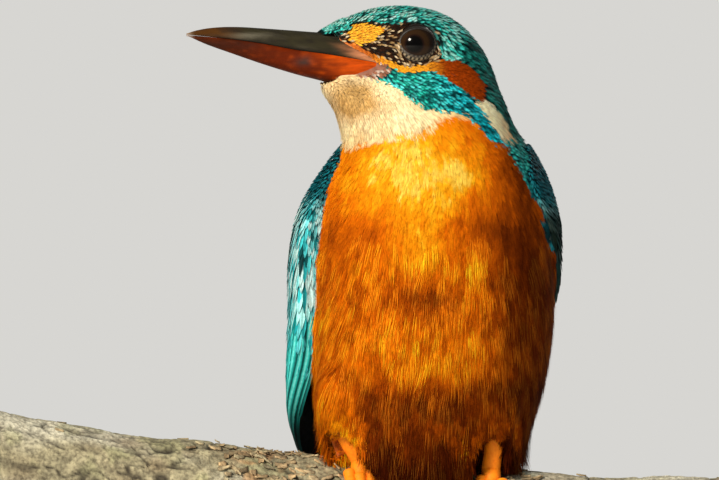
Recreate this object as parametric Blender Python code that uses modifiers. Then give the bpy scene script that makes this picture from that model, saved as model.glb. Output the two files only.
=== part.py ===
"""A common kingfisher, life size, on a cut length of branch that a plain display stand carries.

Sizes are in millimetres and become metres where a mesh is made. +Z is up and the bird's breast faces -Y.
The origin is the middle of the stand's underside. Heights called h count from the feet, at FEET_HEIGHT.
The flesh is modelled whole, parted by thin cuts, and cut back from all that it carries.
"""

import math

import bmesh
import bpy
import numpy as np
from mathutils import Matrix, Vector

MM = 0.001
GAP = 0.32  # clear space between solids that touch in life
WELD = 0.00002

# The stand and the perch.
BASE_LENGTH, BASE_DEPTH, BASE_THICK, BASE_CORNER = 124.0, 88.0, 9.0, 14.0
ROD_RADIUS, ROD_SOCKET = 2.6, 5.0
ROD_PLACES = {"left": 34.0, "right": -38.0}
FEET_HEIGHT = 76.0
PERCH_ENDS = (-97.5, 72.0)
PERCH_RADIUS, PERCH_TAPER = 13.2, -0.012
PERCH_SLOPE, PERCH_BEND = -0.0754, 0.000523

# The trunk: an egg whose width, breast and back each have a height where they are fullest.
BODY_TURN = math.radians(10.0)
BODY_X, BODY_Y = 1.5, 1.0
SWAY, SWAY_H, LEAN, LEAN_H = 0.06, 32.0, 0.035, 45.0
TRUNK_TOP, TRUNK_FOOT = 80.0, -15.0
TRUNK_HALF_WIDTH, WIDEST_H = 27.5, 34.0
BREAST_DEPTH, BREAST_H, BREAST_FOOT = 26.0, 33.0, -7.0
BACK_DEPTH, BACK_H = 23.5, 18.0
SECTION_POWER = 2.15

# The head, turned to the bird's right. Its axes are forward, left and up from the midline at eye level.
HEAD_TURN = math.radians(20.0)
HEAD_X, HEAD_Y, EYE_H = -5.4, -2.0, 94.2
EYE_RADIUS, EYE_PLACE = 4.9, (-0.8, 6.95, -0.9)
BILL_TIP, BILL_ROOT, GAPE = 50.3, 4.9, 5.6
BILL_HALF_WIDTH = 5.8
CHIN_UP, CHIN_FORWARD = -8.5, 19.4
# Heights of the bill's top line, of the line where its halves meet and of its bottom line, by place forward.
CULMEN = [
    (0.0, 1.3), (12.0, 1.5), (19.8, 1.8), (26.2, 2.2), (32.8, 2.6), (38.0, 2.85),
    (42.2, 2.8), (46.7, 2.3), (49.2, 1.7), (50.3, 1.3),
]
BILL_LINE = [
    (0.0, -6.0), (5.6, -5.3), (11.9, -4.2), (18.4, -3.15), (26.2, -2.1), (32.8, -0.9),
    (41.2, 0.25), (49.0, 0.95), (50.3, 1.05),
]
GONYS = [
    (0.0, -9.3), (17.4, -9.3), (19.4, -8.8), (23.3, -7.9), (31.4, -5.65), (39.6, -3.05),
    (47.4, -0.35), (49.0, 0.35), (50.3, 0.85),
]

# Wings, tail and legs.
SIDES = {"left": 1, "right": -1}
WING_TOP, WING_TIP_H, COVERT_END_H = 71.5, -13.0, 22.0
WING_PROUD = {"left": 1.7, "right": 4.5}
WING_TAPER = 0.12
TAIL_LENGTH, TAIL_ROOT_HALF_WIDTH, TAIL_HALF_WIDTH, TAIL_THICK = 37.0, 5.4, 8.2, 1.7
TAIL_ROOT_Y, TAIL_ROOT_H, TAIL_DROP = -19.0, 1.0, math.radians(68.0)
FOOT_X = {"left": 14.6, "right": -14.4}
HEEL = {"left": (15.2, -9.2, 9.0), "right": (-18.4, -9.4, 8.8)}
ANKLE_ANGLE, PAD_ANGLE = 33.0, 39.0
TARSUS_RADIUS, TOE_RADIUS, CLAW_LENGTH = 1.75, 1.25, 4.2

PALETTE = {
    "teal": ((0.02, 0.30, 0.33, 1.0), 0.55, 0.0),
    "azure": ((0.02, 0.36, 0.52, 1.0), 0.5, 0.0),
    "orange": ((0.80, 0.24, 0.02, 1.0), 0.8, 0.0),
    "black_bill": ((0.03, 0.028, 0.025, 1.0), 0.35, 0.0),
    "red_bill": ((0.55, 0.10, 0.02, 1.0), 0.4, 0.0),
    "eye": ((0.015, 0.008, 0.005, 1.0), 0.05, 0.0),
    "foot": ((0.85, 0.14, 0.02, 1.0), 0.45, 0.0),
    "claw": ((0.16, 0.09, 0.06, 1.0), 0.4, 0.0),
    "bark": ((0.30, 0.26, 0.18, 1.0), 0.9, 0.0),
    "walnut": ((0.10, 0.05, 0.03, 1.0), 0.4, 0.0),
    "steel": ((0.55, 0.56, 0.58, 1.0), 0.3, 1.0),
}


# Shapes as formulas.


def egg(h, low, full, high, low_power, high_power):
    """From 0 at low and high to 1 at full, with the roundness of each end."""
    if h > full:
        share, power = (h - full) / (high - full), high_power
    else:
        share, power = (full - h) / (full - low), low_power
    return max(0.0, 1.0 - min(1.0, share) ** power) ** (1.0 / power)


def ease(value, start, end):
    """0 up to start, 1 from end on, and smooth between."""
    share = min(1.0, max(0.0, (value - start) / (end - start)))
    return share * share * (3.0 - 2.0 * share)


def through(keys, value):
    """The value of a smooth curve through a few (place, size) keys."""
    places = [key[0] for key in keys]
    sizes = [key[1] for key in keys]
    i = min(max(int(np.searchsorted(places, value)) - 1, 0), len(keys) - 2)
    slopes = np.gradient(sizes, places)
    run = places[i + 1] - places[i]
    t = min(1.0, max(0.0, (value - places[i]) / run))
    near = (1 + 2 * t) * (1 - t) ** 2 * sizes[i] + t * (1 - t) ** 2 * run * slopes[i]
    far = t * t * (3 - 2 * t) * sizes[i + 1] + t * t * (t - 1) * run * slopes[i + 1]
    return near + far


def body_point(left, forward, h):
    """A point of the trunk's own frame, which is turned a little to the bird's left."""
    c, s = math.cos(BODY_TURN), math.sin(BODY_TURN)
    middle = BODY_X + SWAY * min(0.0, h - SWAY_H) + LEAN * max(0.0, h - LEAN_H)
    return Vector((middle + left * c + forward * s, BODY_Y + left * s - forward * c, FEET_HEIGHT + h))


def head_point(forward, left, up):
    """A point of the head's own frame, whose forward axis is the bill's."""
    c, s = math.cos(HEAD_TURN), math.sin(HEAD_TURN)
    return Vector(
        (HEAD_X - forward * c + left * s, HEAD_Y - forward * s - left * c, FEET_HEIGHT + EYE_H + up)
    )


def perch_radius(x):
    return PERCH_RADIUS + PERCH_TAPER * x + 0.35 * math.sin(x / 9.0) + 0.25 * math.sin(x / 4.1 + 1.0)


def perch_middle(x):
    top = PERCH_SLOPE * x + PERCH_BEND * x * x
    return FEET_HEIGHT + top - PERCH_RADIUS - PERCH_TAPER * x


def trunk_half_width(h):
    return TRUNK_HALF_WIDTH * egg(h, TRUNK_FOOT, WIDEST_H, TRUNK_TOP, 2.2, 2.8)


def breast_depth(h):
    return BREAST_DEPTH * egg(h, BREAST_FOOT, BREAST_H, TRUNK_TOP + 3.0, 2.2, 2.5)


def trunk_back(h):
    return BACK_DEPTH * egg(h, TRUNK_FOOT - 4.0, BACK_H, TRUNK_TOP + 2.0, 2.4, 2.3)


def bill_axis(forward):
    """The line where the two halves of the bill meet, from the gape to the tip."""
    return through(BILL_LINE, forward)


def bill_half_width(forward):
    share = max(0.0, (BILL_TIP - forward) / (BILL_TIP - GAPE))
    return 0.22 + BILL_HALF_WIDTH * min(share, 1.04) ** 1.12


def culmen(forward):
    """The bill's top line: a little arched, and curved down to the tip."""
    return through(CULMEN, forward)


def gonys(forward):
    """The bill's bottom line: rising from the chin to the tip, and level from the chin back."""
    return through(GONYS, forward)


# Meshes.


def new_object(name, mesh, collection):
    made = bpy.data.objects.new(name, mesh)
    collection.objects.link(made)
    return made


def finished(name, bm, collection):
    """The bmesh, in millimetres, as an object in metres with its faces pointing out."""
    bmesh.ops.recalc_face_normals(bm, faces=bm.faces)
    bmesh.ops.scale(bm, vec=(MM, MM, MM), verts=bm.verts)
    mesh = bpy.data.meshes.new(name)
    bm.to_mesh(mesh)
    bm.free()
    return new_object(name, mesh, collection)


def loft(name, rings, collection):
    """A closed solid through rings of equally many points, with a fan over each end."""
    bm = bmesh.new()
    rows = [[bm.verts.new(point) for point in ring] for ring in rings]
    count = len(rows[0])
    for near, far in zip(rows, rows[1:]):
        for i in range(count):
            j = (i + 1) % count
            bm.faces.new((near[i], near[j], far[j], far[i]))
    for row in (rows[0], rows[-1]):
        middle = bm.verts.new(sum((v.co for v in row), Vector()) / count)
        for i in range(count):
            bm.faces.new((row[i], row[(i + 1) % count], middle))
    return finished(name, bm, collection)


def power_oval(count, power=2.0):
    """(sideways, lengthways) of points round an oval of unit size."""
    for i in range(count):
        a = 2 * math.pi * i / count
        c, s = math.cos(a), math.sin(a)
        yield (
            math.copysign(abs(s) ** (2 / power), s),
            math.copysign(abs(c) ** (2 / power), c),
        )


def tube(name, points, radii, collection, sides=8):
    """A round limb along points, with a radius at each and rounded ends."""
    curve = bpy.data.curves.new(name, "CURVE")
    curve.dimensions = "3D"
    curve.bevel_depth = MM
    curve.bevel_resolution = sides // 2 - 2
    curve.use_fill_caps = True
    spline = curve.splines.new("POLY")
    points = [Vector(p) for p in points]
    start = (points[0] - points[1]).normalized() * radii[0] * 0.45
    end = (points[-1] - points[-2]).normalized() * radii[-1] * 0.45
    points = [points[0] + start, *points, points[-1] + end]
    radii = [radii[0] * 0.6, *radii, radii[-1] * 0.6]
    spline.points.add(len(points) - 1)
    for target, point, radius in zip(spline.points, points, radii):
        target.co = (*(point * MM), 1.0)
        target.radius = radius
    guide = new_object(name + "_line", curve, collection)
    bpy.context.view_layer.update()
    mesh = bpy.data.meshes.new_from_object(guide.evaluated_get(bpy.context.evaluated_depsgraph_get()))
    bm = bmesh.new()
    bm.from_mesh(mesh)
    bmesh.ops.remove_doubles(bm, verts=bm.verts, dist=0.01 * MM)
    bmesh.ops.recalc_face_normals(bm, faces=bm.faces)
    bm.to_mesh(mesh)
    bm.free()
    bpy.data.objects.remove(guide)
    made = new_object(name, mesh, collection)
    mesh.name = name
    return made


def ball(name, centre, radius, collection, segments=14):
    bm = bmesh.new()
    bmesh.ops.create_uvsphere(bm, u_segments=segments, v_segments=segments // 2 + 2, radius=radius)
    bmesh.ops.translate(bm, verts=bm.verts, vec=centre)
    return finished(name, bm, collection)


def block(name, low, high, collection, place=Matrix.Identity(4)):
    """A box from its low to its high corner, put in place by a matrix in millimetres."""
    low, high = Vector(low), Vector(high)
    bm = bmesh.new()
    bmesh.ops.create_cube(bm, size=1.0)
    bmesh.ops.scale(bm, verts=bm.verts, vec=high - low)
    bmesh.ops.translate(bm, verts=bm.verts, vec=(low + high) / 2)
    bmesh.ops.transform(bm, verts=bm.verts, matrix=place)
    return finished(name, bm, collection)


def apply_modifiers(target):
    bpy.context.view_layer.update()
    evaluated = target.evaluated_get(bpy.context.evaluated_depsgraph_get())
    mesh = bpy.data.meshes.new_from_object(evaluated)
    target.modifiers.clear()
    old, target.data = target.data, mesh
    bpy.data.meshes.remove(old)


def combine(target, others, operation):
    for other in others:
        modifier = target.modifiers.new(other.name, "BOOLEAN")
        modifier.operation = operation
        modifier.object = other
        modifier.solver = "EXACT"
    apply_modifiers(target)
    bm = bmesh.new()
    bm.from_mesh(target.data)
    bmesh.ops.remove_doubles(bm, verts=bm.verts, dist=WELD)
    bmesh.ops.dissolve_degenerate(bm, edges=bm.edges, dist=WELD)
    bm.to_mesh(target.data)
    bm.free()
    return target


def dressed(target, colour, smooth_angle=50.0):
    """Gives a finished solid its material and shading."""
    if colour not in bpy.data.materials:
        material = bpy.data.materials.new(colour)
        material.use_nodes = True
        shader = material.node_tree.nodes["Principled BSDF"]
        base, roughness, metallic = PALETTE[colour]
        shader.inputs["Base Color"].default_value = base
        shader.inputs["Roughness"].default_value = roughness
        shader.inputs["Metallic"].default_value = metallic
        material.diffuse_color = base
    target.data.materials.clear()
    target.data.materials.append(bpy.data.materials[colour])
    target.data.shade_smooth()
    target.data.set_sharp_from_angle(angle=math.radians(smooth_angle))
    return target


# The flesh, whole.


def trunk_ring(h, count=32):
    """One level of the trunk: half an oval for the breast and half a shallower one for the back."""
    width = trunk_half_width(h)
    front = breast_depth(h)
    back = trunk_back(h)
    for side, lengthways in power_oval(count, SECTION_POWER):
        yield body_point(width * side, (front if lengthways > 0 else back) * lengthways, h)


def trunk_solid(collection):
    """Rings set closer together towards the top and the bottom."""
    shares = [0.5 - 0.5 * math.cos(math.pi * t / 24) for t in range(1, 24)]
    heights = [TRUNK_FOOT + (TRUNK_TOP - TRUNK_FOOT) * share for share in shares]
    return loft("trunk_whole", [list(trunk_ring(h)) for h in heights], collection)


def rump_solid(collection):
    """The rump and the tail's coverts, from the small of the back down to the root of the tail."""
    rings = []
    for t in np.linspace(0.0, 1.0, 9):
        h = 24.0 - 38.0 * t
        forward = -13.5 - 12.5 * t + 2.0 * t * t
        end = egg(t, -0.02, 0.4, 1.05, 3.0, 3.0)
        half_width = (13.5 - 6.8 * t) * end
        half_depth = (8.6 - 4.9 * t) * end
        tilt = 0.35
        rings.append(
            [
                body_point(half_width * side, forward + half_depth * along, h + half_depth * along * tilt)
                for side, along in power_oval(20)
            ]
        )
    return loft("rump", rings, collection)


def neck_solid(collection):
    """From inside the head down to the shoulders, wider across than from front to back."""
    left_edge = [(66.0, -16.4), (74.0, -17.4), (80.0, -18.0), (85.0, -17.4), (91.0, -12.5)]
    right_edge = [(66.0, 22.0), (74.0, 20.4), (80.0, 18.3), (85.0, 16.2), (91.0, 12.6)]
    front_edge = [(66.0, 17.5), (74.0, 16.8), (80.0, 14.3), (85.0, 11.6), (91.0, 9.5)]
    back_edge = [(66.0, 16.5), (74.0, 14.0), (80.0, 11.5), (85.0, 10.0), (91.0, 8.6)]
    rings = []
    for h in np.linspace(66.0, 91.0, 9):
        low, high = through(left_edge, h), through(right_edge, h)
        middle, half = (low + high) / 2, (high - low) / 2
        front, back = through(front_edge, h), through(back_edge, h)
        ring = []
        for side, along in power_oval(28, 2.2):
            depth = front if along > 0 else back
            ring.append(Vector((middle + half * side, -1.0 - depth * along, FEET_HEIGHT + h)))
        rings.append(ring)
    return loft("neck_whole", rings, collection)


def head_solid(collection):
    """The feathered skull, from the point of feathers on the bill back to the nape."""
    nape, front = -22.5, 20.5
    half_width = [
        (nape, 3.0),
        (-19.0, 8.2),
        (-13.0, 10.7),
        (-6.0, 11.2),
        (1.0, 10.5),
        (8.0, 8.3),
        (14.0, 5.7),
        (front, 2.3),
    ]
    crown = [
        (nape, -8.5),
        (-18.5, -1.4),
        (-13.0, 4.6),
        (-7.0, 7.4),
        (0.5, 8.1),
        (8.0, 7.3),
        (13.5, 5.2),
        (front, 1.3),
    ]
    throat = [(nape, -15.0), (-13.0, -19.0), (-6.0, -17.0), (1.0, -14.6), (8.0, -12.2), (front, -8.6)]
    rings = []
    for f in np.linspace(nape, front, 19):
        top, bottom, half = through(crown, f), through(throat, f), through(half_width, f)
        widest = top + (bottom - top) * 0.48
        rings.append(
            [
                head_point(f, half * side, widest + (top - widest if up > 0 else widest - bottom) * up)
                for side, up in power_oval(24, 2.15)
            ]
        )
    return loft("head_whole", rings, collection)


def chin_solid(collection):
    """The puffed throat under the root of the bill, fullest just below it."""
    front_edge = [(-24.0, 13.6), (-19.0, 14.3), (-14.5, 16.4), (-12.0, 18.7), (-9.5, 19.5), (-6.5, 18.5)]
    rings = []
    for up in np.linspace(-24.0, -6.5, 11):
        half, deep = 4.2 + 0.34 * (-6.5 - up), 3.4 + 0.28 * (-6.5 - up)
        forward = through(front_edge, up) - deep
        rings.append(
            [head_point(forward + deep * along, half * side, up) for side, along in power_oval(18)]
        )
    return loft("chin", rings, collection)


def whole_flesh(collection):
    """Trunk, rump, neck, head and chin grown into one smooth solid."""
    bm = bmesh.new()
    for make in (trunk_solid, rump_solid, neck_solid, head_solid, chin_solid):
        piece = make(collection)
        bm.from_mesh(piece.data)
        bpy.data.objects.remove(piece)
    mesh = bpy.data.meshes.new("flesh_whole")
    bm.to_mesh(mesh)
    bm.free()
    whole = new_object("flesh_whole", mesh, collection)
    remesh = whole.modifiers.new("grow_together", "REMESH")
    remesh.mode = "VOXEL"
    remesh.voxel_size = 1.0 * MM
    smooth = whole.modifiers.new("soften", "SMOOTH")
    smooth.factor = 0.6
    smooth.iterations = 9
    thin = whole.modifiers.new("thin_out", "DECIMATE")
    thin.ratio = 0.033
    apply_modifiers(whole)
    return whole


# What the flesh carries.


def bill_half(name, upper, collection):
    """One half of the bill, from its root inside the head to its tip."""
    rings = []
    sign = 1 if upper else -1
    for t in np.linspace(0.0, 1.0, 13):
        f = BILL_ROOT + (BILL_TIP - BILL_ROOT) * t**0.9
        start = bill_axis(f) + sign * GAP / 2
        half = bill_half_width(f)
        rise = max(0.28, culmen(f) - start if upper else start - gonys(f))
        ring = []
        for a in np.linspace(0.0, math.pi, 8):
            across, out = math.cos(a), math.sin(a)
            side = half * math.copysign(abs(across) ** 1.15, across)
            ring.append(head_point(f, side, start + sign * rise * out))
        ring += [head_point(f, half * share, start) for share in (-0.4, 0.4)]
        rings.append(ring)
    return loft(name, rings, collection)


def bill_socket(name, collection):
    """The room that the bill takes out of the head."""
    rings = []
    for f in np.linspace(BILL_ROOT - GAP, CHIN_FORWARD + 8.0, 8):
        top, bottom, line = culmen(f) + GAP, gonys(f) - GAP, bill_axis(f)
        half = bill_half_width(f) + GAP
        rings.append(
            [
                head_point(f, half * side, line + ((top - line) if up > 0 else (line - bottom)) * up)
                for side, up in power_oval(18)
            ]
        )
    return loft(name, rings, collection)


def bill_bare_room(name, collection):
    """A wedge that opens forward from the gape and bares the bill's sides between the feathers."""
    outline = [
        (GAPE, bill_axis(GAPE)),
        (10.2, -2.9),
        (14.5, -0.5),
        (18.4, 2.0),
        (30.0, 12.0),
        (30.0, -18.0),
        (CHIN_FORWARD, CHIN_UP - 0.2),
        (12.0, -7.9),
    ]
    return loft(name, [[head_point(f, side, up) for f, up in outline] for side in (-16.0, 16.0)], collection)


def wing_proud(side, h):
    """How far a folded wing stands out; low down the left one sinks into the feathers of the flank."""
    low = ease(h, 24.0, 44.0) if side == "left" else 1.0
    return WING_PROUD[side] * ease(h, WING_TOP + 4.0, 52.0) * low


def wing_point(side, angle, h, lift):
    """A point lift above the surface that a folded wing lies on, angle degrees round from the breast."""
    proud = wing_proud(side, h)
    low = ease(h, 26.0, WING_TIP_H - 12.0)
    width = (trunk_half_width(max(h, 26.0)) + proud) * (1.0 - WING_TAPER * low)
    back = trunk_back(max(h, 16.0)) + 0.4 * proud + 9.5 * ease(h, 24.0, WING_TIP_H - 6.0)
    a = math.radians(angle)
    c, s = math.cos(a), math.sin(a)
    deep = breast_depth(h) + 0.4 * proud if c > 0.0 else back
    left = SIDES[side] * (width + lift) * abs(s) ** (2 / SECTION_POWER)
    return body_point(left, (deep + lift) * math.copysign(abs(c) ** (2 / SECTION_POWER), c), h)


def wing_edges(side, h):
    """Angles from the breast where a folded wing starts and ends; the left flank covers its wing low."""
    front = {
        "left": [
            (WING_TIP_H, 151.0),
            (-4.0, 142.0),
            (5.0, 131.0),
            (14.0, 120.0),
            (30.0, 102.0),
            (40.0, 84.0),
            (48.0, 71.0),
            (54.0, 59.0),
            (60.0, 50.0),
            (66.0, 52.0),
            (WING_TOP, 70.0),
        ],
        "right": [
            (WING_TIP_H, 149.0),
            (-4.0, 136.0),
            (5.0, 117.0),
            (14.0, 96.0),
            (30.0, 81.0),
            (46.0, 78.0),
            (56.0, 78.0),
            (64.0, 77.0),
            (WING_TOP, 84.0),
        ],
    }
    back = [
        (WING_TIP_H, 158.0),
        (-4.0, 165.0),
        (10.0, 166.0),
        (52.0, 162.0),
        (64.0, 156.0),
        (WING_TOP, 128.0),
    ]
    return through(front[side], h), through(back, h)


def wing_heights(top, foot):
    """Levels at which a wing's outline is set, closer where it turns."""
    shoulder_to_coverts = [WING_TOP, 69.0, 65.0, 60.0, 54.0, 48.0, 41.0, 32.0, COVERT_END_H]
    coverts_to_tip = [14.0, 7.0, 1.0, -5.0, -10.0, WING_TIP_H]
    return [h for h in shoulder_to_coverts + coverts_to_tip if foot <= h <= top]


def wing_solid(name, side, top, foot, collection, grow=0.0, columns=8):
    """A length of folded wing: thick along its front edge, where the feathers are stacked, thin behind."""
    rings = []
    levels = wing_heights(top, foot)
    if levels[0] < top:
        levels = [top, *levels]
    for h in levels:
        front, back = wing_edges(side, h)
        front, back = front - grow * 2.4, back + grow * 2.4
        outer, inner = [], []
        thin_tip = ease(h, WING_TIP_H - 4.0, 30.0)
        deep = wing_proud(side, h) * ease(h, 0.0, 26.0)
        for c in np.linspace(0.0, 1.0, columns):
            swell = math.sin(math.pi * c) ** 0.5 if 0 < c < 1 else 0.0
            angle = front + (back - front) * c
            outer.append(wing_point(side, angle, h, -0.35 + 0.45 * swell + grow))
            under = 1.05 + 0.9 * deep * (1.0 - c) ** 0.7 + (0.7 + 2.4 * thin_tip) * swell
            inner.append(wing_point(side, angle, h, -under - grow))
        rings.append(outer + inner[::-1])
    if grow:
        rings[0] = [point + Vector((0, 0, grow)) for point in rings[0]]
        rings[-1] = [point - Vector((0, 0, grow)) for point in rings[-1]]
    return loft(name, rings, collection)


def tail_solid(name, collection, grow=0.0, length=TAIL_LENGTH, rows=7):
    """The closed tail, a slightly arched blade with a rounded end."""
    rings = []
    down, away = math.sin(TAIL_DROP), -math.cos(TAIL_DROP)
    for t in np.linspace(0.0, 1.0, rows):
        run = -grow + (length + grow) * t
        spread = TAIL_ROOT_HALF_WIDTH + (TAIL_HALF_WIDTH - TAIL_ROOT_HALF_WIDTH) * ease(t, 0.0, 0.75)
        half = spread * egg(t, -1.0, 0.6, 1.12, 2.0, 3.2) + grow
        half_thick = TAIL_THICK / 2 * (1.25 - 0.5 * t) + grow
        ring = []
        for side, along in power_oval(14, 2.6):
            arch = -1.4 * side * side
            deep = half_thick * along - arch
            ring.append(
                body_point(
                    half * side,
                    TAIL_ROOT_Y + away * run + deep * down,
                    TAIL_ROOT_H - down * run + deep * away,
                )
            )
        rings.append(ring)
    return loft(name, rings, collection)


def heel_point(side):
    x, y, h = HEEL[side]
    return Vector((x, y, FEET_HEIGHT + h))


def thigh_solid(name, side, collection, grow=0.0):
    """The feathered thigh, from inside the belly down to the heel."""
    heel = heel_point(side)
    out = SIDES[side]
    hip = Vector((heel.x - 2.0 * out, heel.y - 0.4, heel.z + 15.0))
    foot = heel + Vector((-0.7 * out, -0.6, -3.4))
    rings = []
    for t in np.linspace(0.0, 1.0, 7):
        middle = hip.lerp(foot, t) + Vector((1.3 * out, -1.6, 0.0)) * math.sin(math.pi * t)
        half = 6.9 * egg(t, -0.25, 0.35, 1.16, 2.0, 1.9) + grow
        if t in (0.0, 1.0):
            middle = middle + Vector((0, 0, grow if t == 0.0 else -grow))
        rings.append([middle + Vector((half * x, half * y, 0.0)) for x, y in power_oval(12)])
    return loft(name, rings, collection)


def on_perch(x, angle, off):
    """A point off millimetres above the perch, angle degrees over its top towards the breast's side."""
    a, r = math.radians(angle), perch_radius(x) + off
    return Vector((x, -r * math.sin(a), perch_middle(x) + r * math.cos(a)))


def foot_pieces(side, parts):
    """Tarsus, three front toes, hind toe and their claws, gripping the perch."""
    out, x = SIDES[side], FOOT_X[side]
    lift = TOE_RADIUS + GAP + 0.35
    heel = heel_point(side)
    ankle = on_perch(x, ANKLE_ANGLE, lift + 1.2)
    pad = on_perch(x, PAD_ANGLE, lift + 0.25)
    shank = [heel, heel.lerp(ankle, 0.5) + Vector((0.3 * out, 0.5, 0.2)), ankle, pad]
    tarsus = tube(f"tarsus_{side}", shank, [1.65, TARSUS_RADIUS, 1.95, 1.7], parts, sides=12)
    dressed(tarsus, "foot")
    # Name: sideways lean of the root and of the tip, first and last angle over the perch, thickness.
    tips = {"left": (-3.4, -0.1, 3.2), "right": (-4.2, -1.6, 1.2)}[side]
    toes = {
        "inner": (-2.35, tips[0], 43.0, 74.0, 1.0),
        "middle": (0.15, tips[1], 48.0, 90.0, 1.1),
        "outer": (2.85, tips[2], 45.0, 80.0, 1.0),
        "hind": (-0.6, -1.6, 18.0, -12.0, 1.0),
    }
    for toe, (lean, tip_lean, first, last, thick) in toes.items():
        points, radii = [], []
        for t in np.linspace(0.0, 1.0, 7):
            angle = first + (last - first) * t
            sideways = x + out * (lean + (tip_lean - lean) * t)
            points.append(on_perch(sideways, angle, lift - 0.35 * t))
            knuckle = 0.11 * math.cos(6 * math.pi * t)
            radii.append(TOE_RADIUS * thick * (1.0 - 0.26 * t + knuckle))
        dressed(tube(f"toe_{side}_{toe}", points, radii, parts, sides=6), "foot")
        claw, claw_radii = [], []
        ahead = math.copysign(1.0, last - first)
        start_angle = last + ahead * (radii[-1] * 0.45 + GAP + 0.42) * 4.0
        for t in np.linspace(0.0, 1.0, 4):
            angle = start_angle + ahead * CLAW_LENGTH * 4.0 * t
            sideways = x + out * (tip_lean + (tip_lean - lean) * 0.12 * t)
            rise = lift - 0.35 + 0.55 * math.sin(math.pi * min(t * 1.3, 1.0)) - 0.65 * t * t
            claw.append(on_perch(sideways, angle, rise))
            claw_radii.append(0.82 * (1.0 - t) ** 0.8 + 0.27)
        dressed(tube(f"claw_{side}_{toe}", claw, claw_radii, parts, sides=6), "claw")


def perch_solid(name, collection, grow=0.0, rows=20, sides=14):
    """The cut branch: bent, tapered, lumpy, with a low knot, and square cut ends."""
    rings = []
    for x in np.linspace(PERCH_ENDS[0], PERCH_ENDS[1], rows):
        ring = []
        for i in range(sides):
            a = 2 * math.pi * i / sides
            near_top = max(0.0, math.cos(a))
            lump = 0.45 * math.sin(3 * a + x / 13.0) + 0.25 * math.sin(5 * a - x / 7.0)
            knot = 2.2 * math.exp(-(((x + 62.0) / 6.0) ** 2)) * max(0.0, math.cos(a - 2.2)) ** 6
            r = perch_radius(x) + lump * (1 - near_top) + knot + grow
            ring.append(Vector((x, -r * math.sin(a), perch_middle(x) + r * math.cos(a))))
        rings.append(ring)
    return loft(name, rings, collection)


def rod_solid(name, x, collection, grow=0.0):
    """An upright rod, let into the base below and the perch above."""
    foot, head = BASE_THICK - ROD_SOCKET, perch_middle(x) - perch_radius(x) + ROD_SOCKET
    bm = bmesh.new()
    bmesh.ops.create_cone(
        bm,
        cap_ends=True,
        segments=20,
        radius1=ROD_RADIUS + grow,
        radius2=ROD_RADIUS + grow,
        depth=head - foot + 2 * grow,
    )
    bmesh.ops.translate(bm, verts=bm.verts, vec=(x, 0.0, (head + foot) / 2))
    return finished(name, bm, collection)


def base_solid(name, collection):
    """A flat base with rounded corners and an eased top edge."""
    bm = bmesh.new()
    bmesh.ops.create_cube(bm, size=1.0)
    bmesh.ops.scale(bm, verts=bm.verts, vec=(BASE_LENGTH, BASE_DEPTH, BASE_THICK))
    bmesh.ops.translate(bm, verts=bm.verts, vec=(0.0, 0.0, BASE_THICK / 2))
    uprights = [e for e in bm.edges if abs(e.verts[0].co.z - e.verts[1].co.z) > 1.0]
    bmesh.ops.bevel(bm, geom=uprights, offset=BASE_CORNER, segments=5, profile=0.5, affect="EDGES")
    rim = [e for e in bm.edges if all(v.co.z > BASE_THICK - 0.01 for v in e.verts)]
    bmesh.ops.bevel(bm, geom=rim, offset=1.4, segments=1, profile=0.5, affect="EDGES")
    return finished(name, bm, collection)


# The cuts that part the whole.


def slice_between(name, low, high, tilt, collection):
    """A wide block between two heights above the feet, tilted about the head's left-right axis."""
    centre = Matrix.Translation((0.0, 0.0, FEET_HEIGHT + 78.0)) @ Matrix.Rotation(tilt, 4, "Y")
    return block(name, (-90.0, -90.0, low), (90.0, 90.0, high), collection, centre)


def part_flesh(whole, cutters, parts):
    """Head, neck and trunk as separate solids with a thin cut between them."""
    tilt = math.radians(-7.0)
    spans = {
        "head": (3.6, 60.0, "teal"),
        "neck": (-8.0, 3.6 - GAP, "orange"),
        "trunk": (-130.0, -8.0 - GAP, "orange"),
    }
    made = {}
    for name, (low, high, colour) in spans.items():
        piece = new_object(name, whole.data.copy(), parts)
        combine(piece, [slice_between(name + "_span", low, high, tilt, cutters)], "INTERSECT")
        made[name] = dressed(piece, colour)
    return made


# Each group of sub-parts, with the room it takes out of the flesh.


def add_bill(parts, cutters):
    dressed(bill_half("bill_upper", True, parts), "black_bill", 35.0)
    dressed(bill_half("bill_lower", False, parts), "red_bill", 35.0)
    return [bill_socket("bill_socket", cutters), bill_bare_room("bill_bare_room", cutters)]


def add_eye(side, parts, cutters):
    forward, left, up = EYE_PLACE
    centre = head_point(forward, SIDES[side] * left, up)
    dressed(ball(f"eye_{side}", centre, EYE_RADIUS, parts), "eye")
    return ball(f"eye_socket_{side}", centre, EYE_RADIUS + GAP, cutters)


def add_wing(side, parts, cutters):
    dressed(wing_solid(f"wing_{side}", side, WING_TOP, COVERT_END_H, parts), "teal")
    flight = wing_solid(f"flight_feathers_{side}", side, COVERT_END_H - GAP, WING_TIP_H, parts)
    dressed(flight, "azure")
    return wing_solid(f"wing_slot_{side}", side, WING_TOP, WING_TIP_H, cutters, GAP)


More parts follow.
